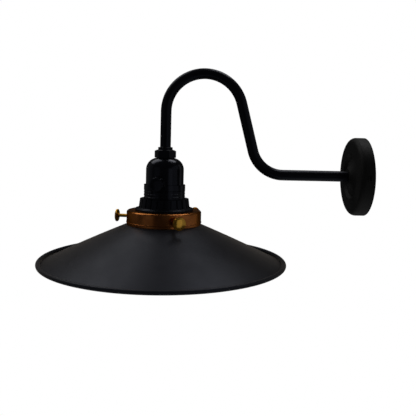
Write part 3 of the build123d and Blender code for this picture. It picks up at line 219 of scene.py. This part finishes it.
canopy_enamel = enamel("canopy_enamel", dark=(0.0007, 0.0007, 0.0005), light=(0.0012, 0.0012, 0.0009),
                       smooth=0.62, rough=0.72, ior=1.34)
arm_enamel = enamel("arm_enamel", dark=(0.0012, 0.0012, 0.0017), light=(0.0018, 0.0018, 0.0026),
                    smooth=0.28, rough=0.38, ior=1.265, gleam=COOL_GLEAM)
shade_enamel = enamel("shade_enamel", dark=(0.0046, 0.0048, 0.0064), light=(0.0060, 0.0063, 0.0082),
                      smooth=0.38, rough=0.46, ior=1.275, gleam=COOL_GLEAM, haze=0.13)
black_bakelite = phenolic("black_bakelite", dark=(0.0011, 0.0011, 0.0016), light=(0.0017, 0.0017, 0.0025),
                          smooth=0.14, rough=0.24, ior=1.31)
ring_bakelite = phenolic("ring_bakelite", dark=(0.0012, 0.0012, 0.0017), light=(0.0020, 0.0020, 0.0028),
                         smooth=0.30, rough=0.42, ior=1.27)
copper = spun_metal("copper_plate", dark=(0.28, 0.092, 0.026), light=(0.47, 0.17, 0.05),
                    edge=(0.88, 0.62, 0.40), smooth=0.20, rough=0.32, origin=(0, LAMP_Y, 0),
                    ring=7e-4, depth=1.5e-6)
terminal_brass = plated("terminal_brass", dark=(0.48, 0.34, 0.14), light=(0.64, 0.47, 0.21),
                        smooth=0.24, rough=0.38, cell=0.003)
nickel_plate = plated("nickel_plate", dark=(0.50, 0.48, 0.44), light=(0.66, 0.64, 0.60),
                      smooth=0.12, rough=0.22, cell=0.002)
zinc_plate = plated("zinc_plate", dark=(0.44, 0.45, 0.47), light=(0.62, 0.63, 0.65),
                    smooth=0.28, rough=0.42, cell=0.0015)
porcelain = moulded("glazed_porcelain", dark=(0.73, 0.72, 0.67), light=(0.79, 0.78, 0.74),
                    rough=0.35, coat=1.0, subsurface=0.15)
nylon = moulded("natural_nylon", dark=(0.66, 0.66, 0.60), light=(0.74, 0.74, 0.69),
                rough=0.42, subsurface=0.3)
brown_moulding = moulded("brown_moulding", dark=(0.030, 0.024, 0.020), light=(0.048, 0.040, 0.034),
                         rough=0.45)
brown_insulation = moulded("brown_insulation", dark=(0.10, 0.040, 0.018), light=(0.13, 0.052, 0.023),
                           rough=0.38)
blue_insulation = moulded("blue_insulation", dark=(0.028, 0.11, 0.36), light=(0.038, 0.14, 0.42),
                          rough=0.38)
earth_insulation = two_colour_insulation("earth_insulation", first=(0.03, 0.22, 0.04),
                                         second=(0.70, 0.52, 0.03), rough=0.4, period=0.003)

FINISHES = {
    canopy_enamel: ["canopy"],
    arm_enamel: ["arm_tube", "entry_nut"],
    black_bakelite: ["holder_cap", "holder_body", "switch_knob"],
    ring_bakelite: ["shade_ring", "clamp_ring"],
    terminal_brass: ["terminal_barrels", "contact_post", "centre_contact", "switch_contacts",
                     "rotor_bridge", "neutral_terminal_screw", "switch_spindle", "gallery_bushes"],
    nickel_plate: ["screw_shell", "switch_bush", "switch_ring_nut"],
    zinc_plate: ["wall_bracket", "wall_nipple", "arm_star_washer", "arm_lock_nut", "holder_nipple",
                 "earth_lug"],
    porcelain: ["socket_insulator"],
    nylon: ["terminal_block"],
    brown_moulding: ["switch_housing", "switch_cover", "switch_rotor"],
    brown_insulation: ["live_wire"],
    blue_insulation: ["neutral_wire"],
    earth_insulation: ["earth_wire"],
}
for finish, nodes in FINISHES.items():
    for node in nodes:
        cover_node(node, finish)

# ---------------------------------------------------------------- piece helpers
TURN = 2 * pi
SMOOTH_ANGLE = radians(35)
SAME_PLACE = 1e-7               # points closer than this are one
NEARLY = 1e-6                   # allowance when points are picked by their place
ON_LAMP_AXIS = Matrix.Translation((0, LAMP_Y, 0))


def level_way(azimuth):
    """Level unit vector at that azimuth, in degrees from +X towards +Y."""
    return cos(radians(azimuth)), sin(radians(azimuth)), 0


def facing(origin, along):
    """Matrix that stands a shape turned about Z at a point, with its Z along that direction."""
    return Matrix.Translation(origin) @ Vector(along).to_track_quat("Z", "Y").to_matrix().to_4x4()


def arc(centre, radius, start, end, steps):
    """Points on an arc, from and to these angles in degrees, as (distance from the axis, height)."""
    angles = [radians(start + (end - start) * i / steps) for i in range(steps + 1)]
    return [(centre[0] + radius * cos(angle), centre[1] + radius * sin(angle)) for angle in angles]


def turned(outline, steps):
    """Spins an outline of (distance from the axis, height) once round Z."""
    shape = bmesh.new()
    row = [shape.verts.new((radius, 0, height)) for radius, height in outline]
    edges = [shape.edges.new(pair) for pair in zip(row, row[1:])]
    bmesh.ops.spin(shape, geom=row + edges, cent=(0, 0, 0), axis=(0, 0, 1), angle=TURN, steps=steps,
                   use_merge=True)
    bmesh.ops.remove_doubles(shape, verts=shape.verts, dist=SAME_PLACE)
    return shape


def threaded(outline, pitch, turns, steps, runout):
    """Winds a closed outline into a screw thread, whose end moves inwards by the runout."""
    shape = bmesh.new()
    end = shape.faces.new([shape.verts.new((radius, 0, height)) for radius, height in outline])
    wound = bmesh.ops.spin(shape, geom=[end] + end.edges[:] + end.verts[:], cent=(0, 0, 0),
                           axis=(0, 0, 1), dvec=(0, 0, pitch / steps), angle=TURN * turns,
                           steps=round(steps * turns))
    for vert in wound["geom_last"]:
        if isinstance(vert, bmesh.types.BMVert):
            vert.co.xy *= 1 - runout / vert.co.xy.length
    return shape


def lift(shape, faces, rise):
    """Extrudes faces straight up."""
    raised = bmesh.ops.extrude_face_region(shape, geom=faces)["geom"]
    verts = [item for item in raised if isinstance(item, bmesh.types.BMVert)]
    bmesh.ops.translate(shape, vec=(0, 0, rise), verts=verts)


def slotted_head(radius, height, slot, depth, rounding):
    """Round screw head with a driver slot, its seat on Z = 0 and its face up."""
    shape = bmesh.new()
    bmesh.ops.create_circle(shape, cap_ends=True, segments=40, radius=radius)
    for side in (-slot / 2, slot / 2):
        bmesh.ops.bisect_plane(shape, geom=shape.verts[:] + shape.edges[:] + shape.faces[:],
                               dist=SAME_PLACE, plane_co=(side, 0, 0), plane_no=(1, 0, 0))
    lift(shape, shape.faces[:], height - depth)
    middles = {face: face.calc_center_median() for face in shape.faces}
    lands = [face for face, middle in middles.items()
             if middle.z > height - depth - NEARLY and abs(middle.x) > slot / 2]
    lift(shape, lands, depth)
    rims = [rim for rim in shape.edges if all(vert.co.z > height - NEARLY for vert in rim.verts)]
    bmesh.ops.bevel(shape, geom=rims, offset=rounding, segments=3, profile=0.5, affect="EDGES",
                    material=-1)
    return shape


def make_piece(name, body, material, parts, node=None):
    """One piece out of (shape, place) pairs; it rides on a body and may stand for a CAD node."""
    whole = bmesh.new()
    mesh = bpy.data.meshes.new(name)
    for shape, place in parts:
        bmesh.ops.transform(shape, matrix=place, verts=shape.verts)
        bmesh.ops.recalc_face_normals(shape, faces=shape.faces)
        shape.to_mesh(mesh)
        shape.free()
        whole.from_mesh(mesh)
    for face in whole.faces:
        face.smooth = True
    for edge in whole.edges:
        edge.smooth = edge.calc_face_angle(0) < SMOOTH_ANGLE
    whole.to_mesh(mesh)
    whole.free()
    mesh.materials.append(material)
    piece = bpy.data.objects.new(name, mesh)
    bpy.context.scene.collection.objects.link(piece)
    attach(piece, body)
    if node:
        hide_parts(node)


# ---------------------------------------------------------------- raised thread of the lampholder's skirt
SKIRT_RADIUS = 0.0216
SKIRT_LOW = -0.0585
SKIRT_PITCH = 0.003
SKIRT_TURNS = 13.6
SKIRT_RUNOUT = 5e-4
SKIRT_RIDGE = ((-0.0003, -0.00105), (0.00024, -0.00055), (0.00030, -0.0002), (0.00030, 0.0002),
               (0.00024, 0.00055), (-0.0003, 0.00105))

skirt_outline = [(SKIRT_RADIUS + out, SKIRT_LOW + up) for out, up in SKIRT_RIDGE]
skirt_thread = threaded(skirt_outline, SKIRT_PITCH, SKIRT_TURNS, steps=72, runout=SKIRT_RUNOUT)
make_piece("skirt_thread", "fixed_lamp", black_bakelite,
           [(skirt_thread, ON_LAMP_AXIS)])

# ---------------------------------------------------------------- thread and lip of the socket's shell
SHELL_BORE = 0.01335
SHELL_LOW = -0.0556
SHELL_PITCH = 0.003629
SHELL_TURNS = 5
SHELL_START = 0.0016            # shell's mouth to the middle of the first ridge
SHELL_RIDGE = 0.0011            # how far a ridge stands out of its foot
SHELL_RIDGE_FOOT = 1e-4         # foot's depth in the shell's wall
SHELL_RIDGE_HALF = 0.42         # half a ridge's height, as a share of the pitch
SHELL_RIDGE_STEPS = 8
SHELL_RUNOUT = -1e-3            # its end moves outwards, into the shell's wall
SHELL_LIP = 0.0004              # radius of the rolled lip
SHELL_LIP_CENTRE = (SHELL_BORE + 2e-4, SHELL_LOW - 5e-4)

ridge_angles = [pi * i / SHELL_RIDGE_STEPS for i in range(SHELL_RIDGE_STEPS + 1)]
shell_outline = [(SHELL_BORE + SHELL_RIDGE_FOOT - SHELL_RIDGE * sin(angle),
                  SHELL_LOW + SHELL_START - SHELL_PITCH * SHELL_RIDGE_HALF * cos(angle))
                 for angle in ridge_angles]
shell_thread = threaded(shell_outline, SHELL_PITCH, SHELL_TURNS, steps=64, runout=SHELL_RUNOUT)
shell_lip = turned(arc(SHELL_LIP_CENTRE, SHELL_LIP, 0, 360, 12), steps=72)
make_piece("shell_thread", "fixed_lamp", nickel_plate,
           [(shell_thread, ON_LAMP_AXIS), (shell_lip, ON_LAMP_AXIS)])

# ---------------------------------------------------------------- gallery
GALLERY_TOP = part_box("gallery")[1].z
GALLERY_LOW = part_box("gallery")[0].z
GALLERY_HOLE = 0.0219           # round the lampholder's skirt
GALLERY_MIDDLE = 0.030          # ring of points between the hole and the rounded edge
GALLERY_RADIUS = 0.0395
GALLERY_WALL = 0.0009
GALLERY_EDGE = 0.0017           # how far in and down its rounded top edge reaches
GALLERY_CURVE = ((1, 0), (0.80, 0.03), (0.66, 0.10), (0.53, 0.20), (0.40, 0.32), (0.28, 0.45),
                 (0.17, 0.59), (0.08, 0.73), (0.02, 0.87), (0, 1))      # in shares of that reach
GALLERY_BEAD = 0.00045          # raised line above its lower edge
GALLERY_BEAD_Z = GALLERY_LOW + 0.00265
GALLERY_FOOT = 2e-4             # rounding of its lower edge

gallery_bore = GALLERY_RADIUS - GALLERY_WALL
gallery_edge = [(GALLERY_RADIUS - GALLERY_EDGE * inward, GALLERY_TOP - GALLERY_EDGE * down)
                for inward, down in GALLERY_CURVE]
last = len(gallery_edge) - 1
inner_edge = [(radius - GALLERY_WALL * (1 - i / last), height - GALLERY_WALL * i / last)
              for i, (radius, height) in enumerate(reversed(gallery_edge))]
gallery_outline = ([(GALLERY_HOLE, GALLERY_TOP), (GALLERY_MIDDLE, GALLERY_TOP)]
                   + gallery_edge
                   + arc((GALLERY_RADIUS, GALLERY_BEAD_Z), GALLERY_BEAD, 90, -90, 8)
                   + arc((GALLERY_RADIUS - GALLERY_FOOT, GALLERY_LOW + GALLERY_FOOT),
                         GALLERY_FOOT, 0, -90, 3)
                   + arc((gallery_bore + GALLERY_FOOT, GALLERY_LOW + GALLERY_FOOT),
                         GALLERY_FOOT, 270, 180, 3)
                   + inner_edge
                   + [(GALLERY_MIDDLE, GALLERY_TOP - GALLERY_WALL),
                      (GALLERY_HOLE, GALLERY_TOP - GALLERY_WALL), (GALLERY_HOLE, GALLERY_TOP)])
make_piece("spun_gallery", "fixed_lamp", copper,
           [(turned(gallery_outline, steps=160), ON_LAMP_AXIS)], "gallery")

# ---------------------------------------------------------------- shade
SHADE_WALL = 0.00085
NECK_RADIUS = 0.0348
NECK_TOP = -0.0423
NECK_BEAD = 0.00075             # radius of the neck's turned edge
NECK_MOUTH = (NECK_RADIUS - SHADE_WALL, NECK_TOP - 3e-4)        # inside, where its bead starts
SHOULDER_Z = -0.0547
SHOULDER_BEND = 5e-4            # bend from the neck to the shoulder, above
UNDER_BEND = 3e-4               # centre of that bend below, out from the neck and up
CONE_TOP = (0.0394, -0.05475)
SHOULDER_END = (CONE_TOP[0] - 5e-4, SHOULDER_Z)
CONE_FOOT = (0.1232, -0.0932)
CONE_NORMAL = (0.42, 0.91)      # outwards and up, square to the cone
CONE_SWELL = 0.0006             # how far the cone stands above a straight one
GROOVE = ((0.1240, -0.09355), (0.1248, -0.0938), (0.1257, -0.0939))
RIM_CENTRE = (0.12785, -0.0926)
RIM_RADIUS = 0.00215            # rolled rim, which stands up past the groove inside it


def cone_side(drop, steps=24):
    """The cone's surface from its top to its foot, let down by this much."""
    swell = [4 * CONE_SWELL * i / steps * (1 - i / steps) for i in range(steps + 1)]
    return [(CONE_TOP[0] + (CONE_FOOT[0] - CONE_TOP[0]) * i / steps + up * CONE_NORMAL[0],
             CONE_TOP[1] + (CONE_FOOT[1] - CONE_TOP[1]) * i / steps + up * CONE_NORMAL[1] - drop)
            for i, up in enumerate(swell)]


shade_outline = ([NECK_MOUTH]
                 + arc((NECK_RADIUS, NECK_TOP), NECK_BEAD, 165, -90, 16)
                 + arc((NECK_RADIUS + SHOULDER_BEND, SHOULDER_Z + SHOULDER_BEND),
                       SHOULDER_BEND, 180, 270, 5)
                 + [SHOULDER_END]
                 + cone_side(drop=0)
                 + list(GROOVE)
                 + arc(RIM_CENTRE, RIM_RADIUS, 218, -90, 40)
                 + [(radius, height - SHADE_WALL) for radius, height in reversed(GROOVE)]
                 + cone_side(drop=SHADE_WALL)[::-1]
                 + arc((NECK_RADIUS + UNDER_BEND, SHOULDER_Z + UNDER_BEND),
                       SHADE_WALL + UNDER_BEND, 270, 180, 6)
                 + [NECK_MOUTH])
make_piece("spun_shade", "fixed_lamp", shade_enamel,
           [(turned(shade_outline, steps=256), ON_LAMP_AXIS)], "shade")

# ---------------------------------------------------------------- skirt of the switch's knob
# Outline of (distance from the knob's axis, distance from the lamp's axis).
KNOB_AZIMUTH = -16
KNOB_Z = sum(corner.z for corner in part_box("switch_knob")) / 2
KNOB_SKIRT = ((0.0069, 0.02265), (0.0081, 0.02265), (0.0082, 0.02275), (0.0082, 0.0233),
              (0.0081, 0.0235), (0.0079, 0.0236), (0.0069, 0.0237), (0.0069, 0.02265))

make_piece("knob_skirt", "switch_turner", black_bakelite,
           [(turned(KNOB_SKIRT, steps=96), facing((0, LAMP_Y, KNOB_Z), level_way(KNOB_AZIMUTH)))])

# ---------------------------------------------------------------- thumbscrews
# Outlines are (distance from the screw's own axis, distance from the lamp's axis). Each screw has its
# own brass, because its turning marks run round its own axis.
THUMB_AZIMUTHS = {"left": -100, "front": 20, "rear": 140}
THUMB_Z = sum(corner.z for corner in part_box("thumbscrew_front")) / 2
THUMB_CENTRE = (0, LAMP_Y, THUMB_Z)
THUMB_TIP = 0.0351
THUMB_FACE = 0.0534
THUMB_HEAD = 0.0066             # radius of the knurled head
THUMB_TEETH = 60
THUMB_TOOTH = 8e-5
THUMB_OUTLINE = ((0, THUMB_TIP), (0.0010, THUMB_TIP), (0.0014, THUMB_TIP + 4e-4), (0.0014, 0.0402),
                 (0.0018, 0.0406), (0.0018, 0.0500), (0.0024, 0.0500), (0.0026, 0.0502),
                 (0.0026, 0.0507), (0.0029, 0.0508), (0.0061, 0.0508), (0.0064, 0.0509),
                 (THUMB_HEAD, 0.0511), (THUMB_HEAD, 0.0522), (0.0065, 0.0525), (0.0062, 0.0527),
                 (0.0056, 0.0528), (0.0055, 0.05272), (0.0054, 0.0528), (0.0045, 0.05302),
                 (0.0030, 0.05325), (0.0015, 0.05337), (0, THUMB_FACE))
THREAD_PITCH = 0.0007
THREAD_START = 0.0385           # distance from the lamp's axis
THREAD_TURNS = 16
THREAD_ROOT = 0.0013
THREAD_CREST = 0.0016
THREAD_RUNOUT = 3e-4
THREAD_RIDGE = ((THREAD_ROOT, 0), (THREAD_CREST, 0.4), (THREAD_CREST, 0.5),
                (THREAD_ROOT, 0.9))     # with its heights as shares of the pitch


def knurl(shape):
    """Cuts straight teeth into the rim of a thumbscrew's head."""
    for vert in shape.verts:
        if vert.co.xy.length > THUMB_HEAD - NEARLY:
            if round(atan2(vert.co.y, vert.co.x) * THUMB_TEETH / pi) % 2:
                vert.co.xy *= 1 - THUMB_TOOTH / THUMB_HEAD
            else:
                vert.co.xy *= 1 + THUMB_TOOTH / THUMB_HEAD
    return shape


thread_outline = [(radius, THREAD_START + THREAD_PITCH * share) for radius, share in THREAD_RIDGE]
for side, azimuth in THUMB_AZIMUTHS.items():
    place = facing(THUMB_CENTRE, level_way(azimuth))
    brass = spun_metal("brass_" + side, dark=(0.54, 0.29, 0.045), light=(0.74, 0.42, 0.07),
                       edge=(0.85, 0.65, 0.3), smooth=0.14, rough=0.22, origin=THUMB_CENTRE,
                       ring=1.6e-4, depth=4e-6, azimuth=radians(azimuth), tilt=pi / 2)
    thread = threaded(thread_outline, THREAD_PITCH, THREAD_TURNS, steps=32, runout=THREAD_RUNOUT)
    make_piece("knurled_screw_" + side, "thumb_" + side, brass,
               [(knurl(turned(THUMB_OUTLINE, steps=2 * THUMB_TEETH)), place), (thread, place)],
               "thumbscrew_" + side)

# ---------------------------------------------------------------- slotted screws
CANOPY_RADIUS = 0.0416
SIDE_SCREW_Y = -0.0055
CLAMP_SCREW_Y = -0.0070         # the terminal block's six clamp screws
CLAMP_SCREW_XS = (-0.007, 0, 0.007)
CLAMP_SCREW_ZS = (0.016, 0.021)
BLOCK_SCREW_SEAT = (0.0035, -0.0085, 0.0185)
EARTH_SCREW_SEAT = (0.013, -0.0023, -0.003)
INSULATOR_SCREW_SEAT = Vector((0, LAMP_Y, -0.0558))             # halfway between the two
INSULATOR_SCREW_AZIMUTH = 140
INSULATOR_SCREW_CIRCLE = 0.0165
SHANK_TIP = 0.8                 # radius of a shank's end, as a share of the shank's
SHANK_CHAMFER = 0.3             # length of that end, likewise
TOWARDS_ROOM = (0, -1, 0)
DOWN = (0, 0, -1)


def make_screws(node, finish, sizes, seats):
    """Slotted screws that stand for a CAD node, at (seat, way that the head faces) pairs."""
    head, height, gap, depth, rounding, shank, length = sizes
    stem = [(0, -length), (shank * SHANK_TIP, -length), (shank, shank * SHANK_CHAMFER - length),
            (shank, 0), (0, 0)]
    parts = []
    for seat, way in seats:
        parts.append((slotted_head(head, height, gap, depth, rounding), facing(seat, way)))
        parts.append((turned(stem, steps=32), facing(seat, way)))
    make_piece("slotted_" + node, "fixed_lamp", finish, parts, node)


# Sizes: the head's radius and height, the slot's width and depth, the rounding of the head's rim,
# and the shank's radius and length.
make_screws("bracket_side_screws", canopy_enamel,
            (0.0027, 0.001, 6e-4, 5e-4, 3.5e-4, 0.00145, 0.0056),
            [((side * CANOPY_RADIUS, SIDE_SCREW_Y, 0), (side, 0, 0)) for side in (-1, 1)])
make_screws("terminal_screws", zinc_plate,
            (0.0015, 0.0012, 4e-4, 5e-4, 1e-4, 0.0009, 0.00085),
            [((x, CLAMP_SCREW_Y, z), TOWARDS_ROOM) for x in CLAMP_SCREW_XS for z in CLAMP_SCREW_ZS])
make_screws("terminal_block_screw", zinc_plate,
            (0.0015, 0.0012, 4e-4, 5e-4, 2e-4, 0.0009, 0.00845),
            [(BLOCK_SCREW_SEAT, TOWARDS_ROOM)])
make_screws("earth_screw", zinc_plate,
            (0.0033, 0.0022, 8e-4, 0.001, 7e-4, 0.00195, 0.00225),
            [(EARTH_SCREW_SEAT, TOWARDS_ROOM)])
insulator_screw_out = Vector(level_way(INSULATOR_SCREW_AZIMUTH)) * INSULATOR_SCREW_CIRCLE
make_screws("insulator_screws", zinc_plate,
            (0.0021, 0.0016, 6e-4, 8e-4, 2e-4, 0.0012, 0.0328),
            [(INSULATOR_SCREW_SEAT + side * insulator_screw_out, DOWN) for side in (-1, 1)])

# ---------------------------------------------------------------- floor and world
FLOOR_Z = -1.2
FLOOR_RADIUS = 1.5
FLOOR_WHITE = 0.9               # share of plain white that the camera sees on the floor


def stage_floor():
    """Plain pale disc far below the light, which keeps its shadow."""
    shape = bmesh.new()
    bmesh.ops.create_circle(shape, cap_ends=True, segments=96, radius=FLOOR_RADIUS,
                            matrix=Matrix.Translation((0, LAMP_Y, FLOOR_Z)))
    mesh = bpy.data.meshes.new("floor")
    shape.to_mesh(mesh)
    shape.free()
    floor = bpy.data.objects.new("floor", mesh)
    bpy.context.scene.collection.objects.link(floor)
    material, shader = new_material("floor_paper", Base_Color=(0.6, 0.6, 0.6, 1), Roughness=0.9)
    rays = add_node(material, "LightPath")
    white = add_node(material, "Emission", {"Strength": 1.0})
    share = add_node(material, "Math", {0: rays.outputs["Is Camera Ray"], 1: FLOOR_WHITE},
                     operation="MULTIPLY")
    mix = add_node(material, "MixShader", {0: share.outputs[0], 1: shader.outputs[0],
                                           2: white.outputs[0]})
    material.node_tree.links.new(mix.outputs[0],
                                 material.node_tree.nodes["Material Output"].inputs["Surface"])
    mesh.materials.append(material)


def studio_world(ambient, mirrored):
    """White to the camera, dim for the light on the object and dimmer still in reflections."""
    world = bpy.data.worlds.new("studio")
    bpy.context.scene.world = world
    world.use_nodes = True
    background = world.node_tree.nodes["Background"]
    rays = add_node(world, "LightPath")
    strength = add_node(world, "Mix", {"Factor": rays.outputs["Is Glossy Ray"],
                                       "A": ambient, "B": mirrored}, data_type="FLOAT")
    seen = add_node(world, "Mix", {"Factor": rays.outputs["Is Camera Ray"],
                                   "A": strength.outputs["Result"], "B": 1.0}, data_type="FLOAT")
    background.inputs["Color"].default_value = (1, 1, 1, 1)
    world.node_tree.links.new(seen.outputs["Result"], background.inputs["Strength"])


stage_floor()
studio_world(ambient=0.5, mirrored=0.03)


# ---------------------------------------------------------------- lights
def softbox(name, place, target, width, height, brightness):
    """Area lamp of that surface brightness, aimed at a point."""
    lamp = bpy.data.lights.new(name, "AREA")
    lamp.shape = "RECTANGLE"
    lamp.size, lamp.size_y = width, height
    lamp.energy = brightness * pi * width * height
    lamp_object = bpy.data.objects.new(name, lamp)
    bpy.context.scene.collection.objects.link(lamp_object)
    aim = (Vector(target) - Vector(place)).to_track_quat("-Z", "Y")
    lamp_object.matrix_world = Matrix.Translation(place) @ aim.to_matrix().to_4x4()


softbox("top_left_box", place=(-0.50, -0.93, 0.95), target=(-0.50, -0.93, 0),
        width=0.8, height=1.0, brightness=1.9)
softbox("top_right_box", place=(-0.35, 0.20, 0.95), target=(-0.35, 0.20, 0),
        width=0.6, height=0.50, brightness=3.2)
softbox("left_panel", place=(-0.40, -1.45, 0.25), target=(-0.40, 0, 0.25),
        width=1.4, height=0.9, brightness=0.08)
softbox("left_front_panel", place=(1.00, -1.25, 0.0), target=(0, LAMP_Y, 0),
        width=0.9, height=1.1, brightness=0.09)
softbox("right_panel", place=(0.25, 1.00, 0.20), target=(0.25, 0, 0.20),
        width=2.0, height=1.2, brightness=0.19)
softbox("right_front_panel", place=(1.05, 0.55, -0.10), target=(0, LAMP_Y, 0),
        width=0.5, height=0.9, brightness=0.30)

# ---------------------------------------------------------------- camera
CAMERA_DISTANCE = 0.5545        # camera to the plane of the arm
CAMERA_Y = -0.1804
CAMERA_Z = 0.0284
CAMERA_PAN = -1.437             # degrees, against a camera that looks straight along -X
CAMERA_TILT = -1.437
CAMERA_ROLL = 1.284
FOCAL_PIXELS = 520.81           # focal length in pixels of the 416 pixel wide photograph
PHOTO_PIXELS = 416
EYE_LINE = 160.0                # photograph row that the optical axis meets
SENSOR_WIDTH = 36.0


def photo_camera():
    """Camera at the photograph's viewing angle."""
    data = bpy.data.cameras.new("camera")
    data.sensor_width = SENSOR_WIDTH
    data.lens = FOCAL_PIXELS / PHOTO_PIXELS * SENSOR_WIDTH
    data.shift_y = (EYE_LINE - PHOTO_PIXELS / 2) / PHOTO_PIXELS
    camera = bpy.data.objects.new("camera", data)
    bpy.context.scene.collection.objects.link(camera)
    camera.matrix_world = (Matrix.Translation((CAMERA_DISTANCE, CAMERA_Y, CAMERA_Z))
                           @ Matrix.Rotation(radians(90 + CAMERA_PAN), 4, "Z")
                           @ Matrix.Rotation(radians(90 + CAMERA_TILT), 4, "X")
                           @ Matrix.Rotation(radians(CAMERA_ROLL), 4, "Z"))
    bpy.context.scene.camera = camera


photo_camera()
bpy.context.scene.view_settings.view_transform = "Standard"
